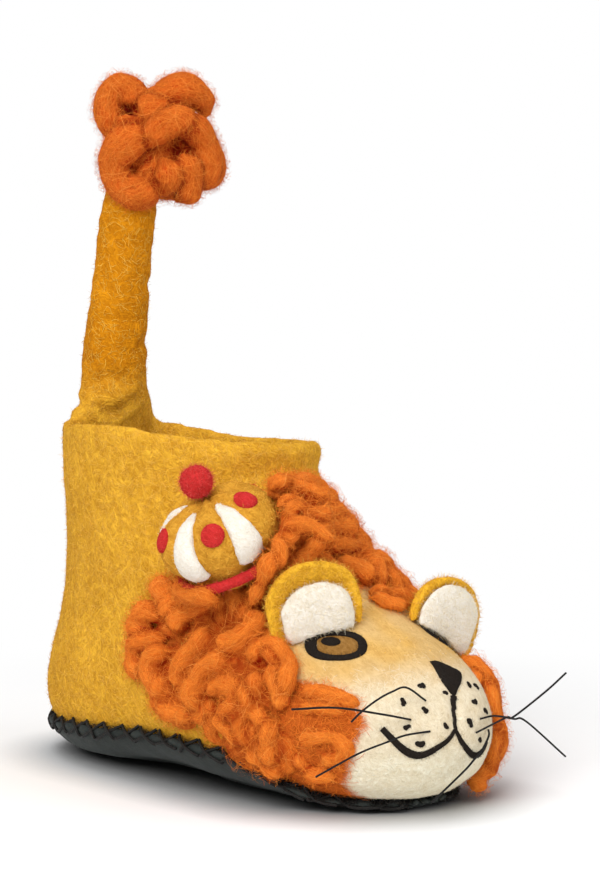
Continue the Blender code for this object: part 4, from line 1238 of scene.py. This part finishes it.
def feltPatch(store, tree, outline, proud):  # low mound of wool inside an outline, tucked in at its edge
    outline = np.asarray(outline)
    count = len(outline)
    middle = outline.mean(0)
    spot, normal = settle(tree, middle)
    points = [[spot + normal * proud * mm]]
    shares = needleFelt["rings"]
    for share in shares:
        lift = proud * math.sqrt(1 - share**4) if share < 1 else -needleFelt["tuck"]
        spots, normals, _ = settleAll(tree, middle + (outline - middle) * share)
        points.append(spots + normals * lift * mm)
    points = np.concatenate(points + [[spot - normal * needleFelt["depth"] * mm]])
    ring = np.arange(count)
    after = (ring + 1) % count
    quads = np.concatenate([np.column_stack((1 + r * count + ring, 1 + r * count + count + ring,
                                             1 + r * count + count + after, 1 + r * count + after))
                            for r in range(len(shares) - 1)])
    edge = 1 + (len(shares) - 1) * count
    tris = np.concatenate((np.column_stack((np.zeros(count, int), ring + 1, after + 1)),
                           np.column_stack((np.full(count, len(points) - 1), edge + after, edge + ring))))
    addTo(store, points, quads, tris)


def feltLine(store, tree, route, widths, proud, steps=40, closed=False):  # felted line laid on a face
    rows = list(route) + [route[0]] if closed else route
    spots, ups, _ = settleAll(tree, smoothRoute(rows, steps))
    radii = np.interp(np.linspace(0, 1, steps), np.linspace(0, 1, len(widths)), widths) / 2 * mm
    path = spots + ups * needleFelt["lift"] * mm
    addTube(store, path, radii, needleFelt["sides"], ups, proud / (np.mean(widths) / 2))


def ovalOutline(middle, right, up, power=0.85, count=28):
    angles = np.linspace(0, 2 * math.pi, count, endpoint=False)
    wide, tall = (np.sign(way) * np.abs(way) ** power for way in (np.cos(angles), np.sin(angles)))
    return middle + np.outer(wide, right) + np.outer(tall, up)


face = {
    # left, right, top and low end of the eye
    "eye": [(-23.6, 129.2, 47.4), (-11.3, 141.0, 47.0), (-15.1, 132.9, 50.6), (-21.0, 138.9, 43.5)],
    "eyeLine": (2.7, 2.4, 2.2, 2.8, 3.6, 2.8, 2.1, 2.3, 2.7), "mirror": 4.8,
    # shares of the eye's width and height
    "iris": (0.8, 0.72), "irisProud": 0.35, "ring": (0.86, 0.80), "ringPower": 0.8, "ringSides": 22,
    "ringSteps": 60, "ringProud": 0.65, "pupil": (0.36, 0.3), "pupilAt": (-0.2, 0.22), "pupilSides": 18,
    "nose": [(2.2, 152.0, 42.0), (4.5, 152.2, 41.8), (8.5, 153.8, 40.2), (12.4, 155.2, 38.2),
             (10.6, 157.6, 36.4), (6.4, 160.0, 34.6), (3.1, 161.4, 33.2), (1.9, 157.4, 37.4)],
    "noseLine": [(3.1, 161.3, 33.3), (0.8, 163.7, 29.2), (-0.6, 164.9, 24.6)],
    "mouthLateral": [(-0.7, 164.9, 24.6), (-4.4, 164.8, 22.0), (-7.6, 163.9, 20.6), (-11.9, 162.1, 18.8),
                     (-15.5, 160.1, 20.1), (-18.5, 158.0, 23.4), (-20.2, 155.7, 26.2)],
    "mouthMedial": [(-0.7, 164.9, 24.6), (1.3, 165.2, 21.0), (7.0, 164.6, 16.4), (11.6, 163.9, 16.4),
                    (14.0, 163.6, 19.0)],
    "lines": {"noseLine": ((2.2, 1.3, 1.5), 18), "mouthLateral": ((1.2, 1.5, 1.9, 2.3, 1.9, 1.7), 40),
              "mouthMedial": ((1.2, 1.8, 2.0, 1.6), 28)},  # widths along each line, and its steps
    "dots": [(-5.6, 157.1, 36.8), (-13.5, 157.4, 33.1), (-9.0, 161.3, 30.5), (-14.9, 160.0, 26.4),
             (-4.3, 164.3, 25.9), (-12.1, 162.3, 21.9), (0.9, 160.2, 34.5), (12.7, 158.4, 35.1),
             (16.3, 157.8, 34.2), (10.4, 162.2, 30.7), (14.4, 162.8, 27.7), (5.3, 164.7, 25.8),
             (9.4, 164.9, 20.5)],
    "dotRadius": (0.8, 1.25), "dotSides": 16, "dotWobble": (0.28, 0.16), "dotProud": 0.5, "proud": 0.55,
    "noseProud": 1.0, "noseSteps": 37, "dotStretch": (0.75, 1.25),
    "fuzz": (3200, (0.5, 1.3), "black"), "fuzzWidth": 0.08, "fuzzStand": 0.3,
}


def mirrored(row):
    return (face["mirror"] - row[0], row[1], row[2])


def makeFace():
    black, amber = emptyStore(), emptyStore()
    rng = np.random.default_rng(51)
    for flip in (False, True):
        left, right, top, low = places([mirrored(row) if flip else row for row in face["eye"]])
        middle = (left + right + top + low) / 4
        wide, tall = (right - left) / 2, (top - low) / 2
        iris, ring, pupil = ((wide * face[key][0], tall * face[key][1]) for key in ("iris", "ring", "pupil"))
        feltPatch(amber, bodyTree, ovalOutline(middle, *iris), face["irisProud"])
        line = ovalOutline(middle, *ring, face["ringPower"], face["ringSides"])
        feltLine(black, bodyTree, list(line), face["eyeLine"], face["ringProud"], face["ringSteps"], True)
        pupilMiddle = middle + wide * face["pupilAt"][0] + tall * face["pupilAt"][1]
        line = ovalOutline(pupilMiddle, *pupil, 1.0, face["pupilSides"])
        feltPatch(black, bodyTree, line, face["noseProud"])
    nose = smoothRoute(places(face["nose"] + face["nose"][:1]), face["noseSteps"])[:-1]
    feltPatch(black, bodyTree, nose, face["noseProud"])
    for key, (widths, steps) in face["lines"].items():
        feltLine(black, bodyTree, places(face[key]), widths, face["proud"], steps)
    turns = np.linspace(0, 2 * math.pi, face["dotSides"], endpoint=False)
    for dot in places(face["dots"]):
        radius = rng.uniform(*face["dotRadius"]) * mm
        _, normal = settle(bodyTree, dot)
        right = unit(np.cross(normal, (0, 0, 1)))
        wide, tall = right * radius * rng.uniform(*face["dotStretch"]), np.cross(right, normal) * radius
        outline = ovalOutline(dot, wide, tall, 1.0, face["dotSides"])
        wobble = np.ones(face["dotSides"])
        for waves, size in enumerate(face["dotWobble"], 2):
            wobble += size * np.sin(waves * turns + rng.uniform(0, 6.3))
        feltPatch(black, bodyTree, dot + (outline - dot) * wobble[:, None], face["dotProud"])
    pieceFrom(black, "face_black", blackFelt)
    pieceFrom(amber, "face_amber", amberFelt)
    fuzzOn("face_fuzz", joined(black, "points"), joined(black, "quads"), face["fuzz"], 52,
           face["fuzzWidth"], face["fuzzStand"])


makeFace()
print("face felted")


def makeCrown():
    points, quads = feltedShape([nodeMesh("crown_dome")], crown["voxel"])
    points = relaxed(points, quads, crown["relax"])
    flat = points - crownFoot
    turn = np.degrees(np.arctan2(flat @ crownRight, flat @ crownFront)) % 360
    middles = [row[0] % 360 for row in crown["dots"]]
    nearest = np.min([np.abs((turn - middle + 180) % 360 - 180) for middle in middles], axis=0)
    groove = np.cos(np.radians(nearest * crown["grooveTurns"])) * crown["groove"]
    move = groove + crown["lump"] * lumps(points, crown["lumpSize"], 61)
    points = points + normalsOf(points, quads) * (move * mm)[:, None]
    dome = meshPiece("crown_felt", points, [quads], crownFelt, ("crown_dome",))
    rows = crown["fuzz"]
    fuzzOn("crown_fuzz", points, quads, rows["crown_fuzz"], 62)
    tree = treeOf(points, quads)
    white, red = emptyStore(), emptyStore()
    low = min(crown["stripeRise"])
    for turn, share in crown["stripes"]:
        line = [crownSpot(turn, low + (height - low) * share) for height in crown["stripeRise"]]
        feltLine(white, tree, line, crown["stripeWidth"], crown["stripeProud"], crown["stripeSteps"])
    for turn, rise in crown["dots"]:
        spot, normal = settle(tree, crownSpot(turn, rise))
        right = unit(np.cross(normal, crownAxis)) * crown["dotRadius"] * mm
        outline = ovalOutline(spot, right, np.cross(right, normal), 1.0, crown["dotSides"])
        feltPatch(red, tree, outline, crown["dotProud"])
    pieceFrom(white, "crown_stripes", whiteFelt)
    pieceFrom(red, "crown_dots", redFelt)
    fuzzOn("stripe_fuzz", joined(white, "points"), joined(white, "quads"), rows["stripe_fuzz"],
           63)
    fuzzOn("dot_fuzz", joined(red, "points"), joined(red, "quads"), rows["dot_fuzz"], 64)
    bobble, points, quads = softPiece("wool_bobble", "crown_bobble", *crown["bobble"], redFelt,
                                      "red_felt", 65)
    fuzzOn("bobble_fuzz", points, quads, rows["bobble_fuzz"], 66)
    _, points, quads = softPiece("felt_band", "crown_band", *crown["band"], redFelt, "red_felt", 67)
    fuzzOn("band_fuzz", points, quads, rows["band_fuzz"], 68)


makeCrown()
print("crown set")

sole = {
    "voxel": 1.2, "relax": 4, "lump": 0.12, "lumpSize": 5.0, "middle": 84.0, "bins": 240, "smooth": 5,
    # crossed stitches over the edge: pitch, thread, reach below and above, and how the suede puckers
    "pitch": 9.2, "thread": 0.95, "below": 5.0, "above": 1.1, "jitter": 0.5, "from": 4.0,
    "pucker": 0.55, "puckerReach": 2.2, "cross": (0.05, 0.95), "proud": (1.0, 1.5), "steps": 11, "sides": 7,
    # the edge is pared down and tucked in at the toe: from and to along, above which height, by which share
    "toeThin": (116.0, 138.0, 1.6, 0.55), "toeTuck": 2.2, "toeTuckRise": (0.6, 2.0),
    "toeMiddle": (2.0, 124.0, 0.0),
    # fibres along the edge: mm sunk and raised, how they stand up and stray, and what grows at the toe
    "fuzz": 10400, "fuzzWidth": 0.13, "fuzzLength": (0.6, 1.3), "sideFuzz": 0.45, "toeFuzz": (106.0, 118.0),
    "fuzzSunk": (-0.4, 0.8), "sideSunk": 0.4, "fuzzRaised": (-0.4, 0.9), "fuzzUp": 0.4, "fuzzStray": 0.8,
    "toeDrop": 1.2, "toeLong": 1.1,
    "suede": ((0.014, 0.018, 0.016, 1), (0.036, 0.044, 0.040, 1)), "suedeNap": (0.45, 0.45, 0.45, 1),
    "threadTint": (0.010, 0.009, 0.008),
}


def makeSuede():
    material, tree, shader = newMaterial("darkSuede", 0.65, 0.03, (0.6, 0.66, 0.62), 0.2)
    spots = addNode(tree, "ShaderNodeTexCoord").outputs["Object"]
    cloudy = noiseAt(tree, spots, 55.0, 4.0, 0.6)
    nap = noiseAt(tree, spots, 900.0, 4.0, 0.7)
    base = mixColours(tree, "MIX", cloudy, *sole["suede"])
    tone = mixColours(tree, "MULTIPLY", calculate(tree, "MULTIPLY", nap, 0.6), base, sole["suedeNap"])
    feed(tree, tone, shader.inputs["Base Color"])
    bumpInto(tree, shader, nap, 0.35, 0.25)
    return material


def makeSole():
    points, quads = feltedShape([nodeMesh("outsole")], sole["voxel"])
    points = relaxed(points, quads, sole["relax"])
    sizes = shoeSizes(points)
    thinFrom, thinTo, thinAbove, thinBy = sole["toeThin"]
    toe = ease(thinFrom, thinTo, sizes[:, 1])
    points[:, 2] -= toe * thinBy * np.maximum(points[:, 2] - thinAbove * mm, 0)
    inward = unit((np.array(place(*sole["toeMiddle"])) - points) * (1, 1, 0))
    points += inward * (sole["toeTuck"] * mm * toe * ease(*sole["toeTuckRise"], sizes[:, 2]))[:, None]
    bins = sole["bins"]
    angle = np.arctan2(sizes[:, 0], sizes[:, 1] - sole["middle"])
    spin = (angle + math.pi) / (2 * math.pi) * bins
    part = spin.astype(int) % bins
    edge = np.array([points[part == b][np.argmax(points[part == b][:, 2])] for b in range(bins)])
    for _ in range(sole["smooth"]):
        edge = (np.roll(edge, 1, 0) + 2 * edge + np.roll(edge, -1, 0)) / 4
    loop = np.concatenate((edge, edge[:1]))
    run = runAlong(loop) / mm
    count = round(run[-1] / sole["pitch"])
    pitch = run[-1] / count
    near = np.interp(spin, np.arange(bins + 1), run)
    drop = (np.interp(spin, np.arange(bins + 1), loop[:, 2]) - points[:, 2]) / mm
    deep = np.exp(-np.maximum(drop, 0) / sole["puckerReach"])
    move = np.cos(2 * math.pi * near / pitch) * deep * sole["pucker"]
    move += sole["lump"] * lumps(points, sole["lumpSize"], 71)
    points = points + normalsOf(points, quads) * (move * mm)[:, None]
    meshPiece("suede_sole", points, [quads], makeSuede(), ("outsole",))
    tree = treeOf(points, quads)
    threads = emptyStore()

    def edgeAt(mark):
        return np.array([np.interp(mark % run[-1], run, loop[:, k]) for k in range(3)])

    def lowAt(mark):
        spot = edgeAt(mark)
        out = unit((spot - np.array(place(0, sole["middle"], 0))) * (1, 1, 0))
        drop = sole["below"] + rng.normal(0, sole["jitter"])
        return settle(tree, spot + out * sole["from"] * mm - np.array((0, 0, drop * mm)))

    def highAt(mark):
        rise = sole["above"] + rng.uniform(0, sole["jitter"])
        return settle(bodyTree, edgeAt(mark) + np.array((0, 0, rise * mm)))

    rng = np.random.default_rng(72)
    lift = sole["thread"] / 2 * mm
    for k in range(count):
        for (first, last), proud in zip((sole["cross"], sole["cross"][::-1]), sole["proud"]):
            low, lowNormal = lowAt((k + first) * pitch + rng.normal(0, sole["jitter"]))
            high, highNormal = highAt((k + last) * pitch + rng.normal(0, sole["jitter"]))
            middle = edgeAt((k + 0.5) * pitch) + unit(lowNormal + highNormal) * proud * mm
            route = [low - lowNormal * lift, low + lowNormal * lift, middle,
                     high + highNormal * lift, high - highNormal * lift]
            addTube(threads, smoothRoute(route, sole["steps"]), np.full(sole["steps"], lift), sole["sides"])
    pieceFrom(threads, "edge_stitches", makeThread("stitchThread", sole["threadTint"]))
    marks = rng.uniform(0, run[-1], sole["fuzz"])
    edgeSpots = np.array([edgeAt(mark) for mark in marks])
    toe = ease(*sole["toeFuzz"], shoeSizes(edgeSpots)[:, 1])[:, None]
    kept = rng.random(len(marks)) < sole["sideFuzz"] + (1 - sole["sideFuzz"]) * toe[:, 0]
    edgeSpots, toe = edgeSpots[kept], toe[kept]
    count = len(toe)
    out = unit((edgeSpots - np.array(place(0, sole["middle"], 0))) * (1, 1, 0))
    sunk = rng.uniform(*sole["fuzzSunk"], (count, 1)) * (sole["sideSunk"] + toe) * mm
    raised = rng.uniform(*sole["fuzzRaised"], (count, 1)) * mm
    raised = raised - toe * rng.uniform(0, sole["toeDrop"], (count, 1)) * mm
    ways = unit(out + (0, 0, sole["fuzzUp"]) + sole["fuzzStray"] * rng.normal(size=out.shape))
    lengths = rng.uniform(*sole["fuzzLength"], count) * (1 + sole["toeLong"] * toe[:, 0]) * mm
    fuzz("edge_fuzz", edgeSpots + out * sunk + np.array((0, 0, 1)) * raised, ways, lengths, sole["fuzzWidth"],
         np.full(count, woolNames.index("black")), rng)


makeSole()
print("sole stitched")

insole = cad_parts["insole"]
insole.data.materials.clear()
insole.data.materials.append(makeFelt("feltOfInsole", tints["insole"], 0.7))

# studio: pale floor fading to white, with a painted contact shadow near the shoe, one broad key from the
# viewer's left, a fill and white surroundings
studio = {
    # lamps: place, size and power
    "key": ((-1.05, -0.45, 0.95), 0.9, 20.0), "fill": ((0.45, -1.1, 0.30), 0.9, 5.5),
    "top": ((0.05, 0.1, 1.5), 1.2, 7.0), "lampAim": (0, 0, 0.08),
    "surround": 0.38, "floorSize": 12.0, "floorTint": 0.88, "contactShadowTint": 0.08, "contact": 0.022,
    "fadeFrom": 0.11, "fadeTo": 0.27,
}


def makeStudio():
    for name in ("key", "fill", "top"):
        spot, size, power = studio[name]
        light = bpy.data.lights.new(name, "AREA")
        light.size = size
        light.energy = power
        lamp = bpy.data.objects.new(name, light)
        lamp.location = spot
        lamp.rotation_euler = (Vector(studio["lampAim"]) - Vector(spot)).to_track_quat("-Z", "Y").to_euler()
        scene.collection.objects.link(lamp)
    world = bpy.data.worlds.new("surround")
    world.use_nodes = True
    tree = world.node_tree
    back = tree.nodes["Background"]
    path = addNode(tree, "ShaderNodeLightPath")
    surround = studio["surround"]
    strength = calculate(tree, "MULTIPLY_ADD", path.outputs["Is Camera Ray"], 1.0 - surround, surround)
    feed(tree, strength, back.inputs["Strength"])
    back.inputs["Color"].default_value = (1, 1, 1, 1)
    scene.world = world
    half = studio["floorSize"] / 2
    mesh = bpy.data.meshes.new("floor")
    corners = [(-half, -half, 0), (half, -half, 0), (half, half, 0), (-half, half, 0)]
    mesh.from_pydata(corners, [], [(0, 1, 2, 3)])
    floor = bpy.data.objects.new("floor", mesh)
    scene.collection.objects.link(floor)
    material = bpy.data.materials.new("paleFloor")
    material.use_nodes = True
    tree = material.node_tree
    shader = tree.nodes["Principled BSDF"]
    dark, pale = ((studio[key],) * 3 + (1,) for key in ("contactShadowTint", "floorTint"))
    shader.inputs["Roughness"].default_value = 0.9
    # painted contact shadow: ambient occlusion darkens the floor's colour near the shoe, for camera rays only
    contact = addNode(tree, "ShaderNodeAmbientOcclusion", {"Distance": studio["contact"]}, samples=8)
    seen = addNode(tree, "ShaderNodeLightPath").outputs["Is Camera Ray"]
    clear = calculate(tree, "MAXIMUM", contact.outputs["AO"], calculate(tree, "SUBTRACT", 1.0, seen))
    feed(tree, mixColours(tree, "MIX", clear, dark, pale), shader.inputs["Base Color"])
    spots = addNode(tree, "ShaderNodeTexCoord").outputs["Object"]
    reach = addNode(tree, "ShaderNodeVectorMath", operation="LENGTH")
    feed(tree, spots, reach.inputs[0])
    fade = addNode(tree, "ShaderNodeMapRange", {"From Min": studio["fadeFrom"], "From Max": studio["fadeTo"]},
                   interpolation_type="SMOOTHSTEP")
    feed(tree, reach.outputs["Value"], fade.inputs["Value"])
    glow = addNode(tree, "ShaderNodeEmission")
    blend = addNode(tree, "ShaderNodeMixShader")
    feed(tree, fade.outputs["Result"], blend.inputs[0])
    feed(tree, shader.outputs[0], blend.inputs[1])
    feed(tree, glow.outputs[0], blend.inputs[2])
    feed(tree, blend.outputs[0], tree.nodes["Material Output"].inputs["Surface"])
    mesh.materials.append(material)


makeStudio()
print("studio lit")
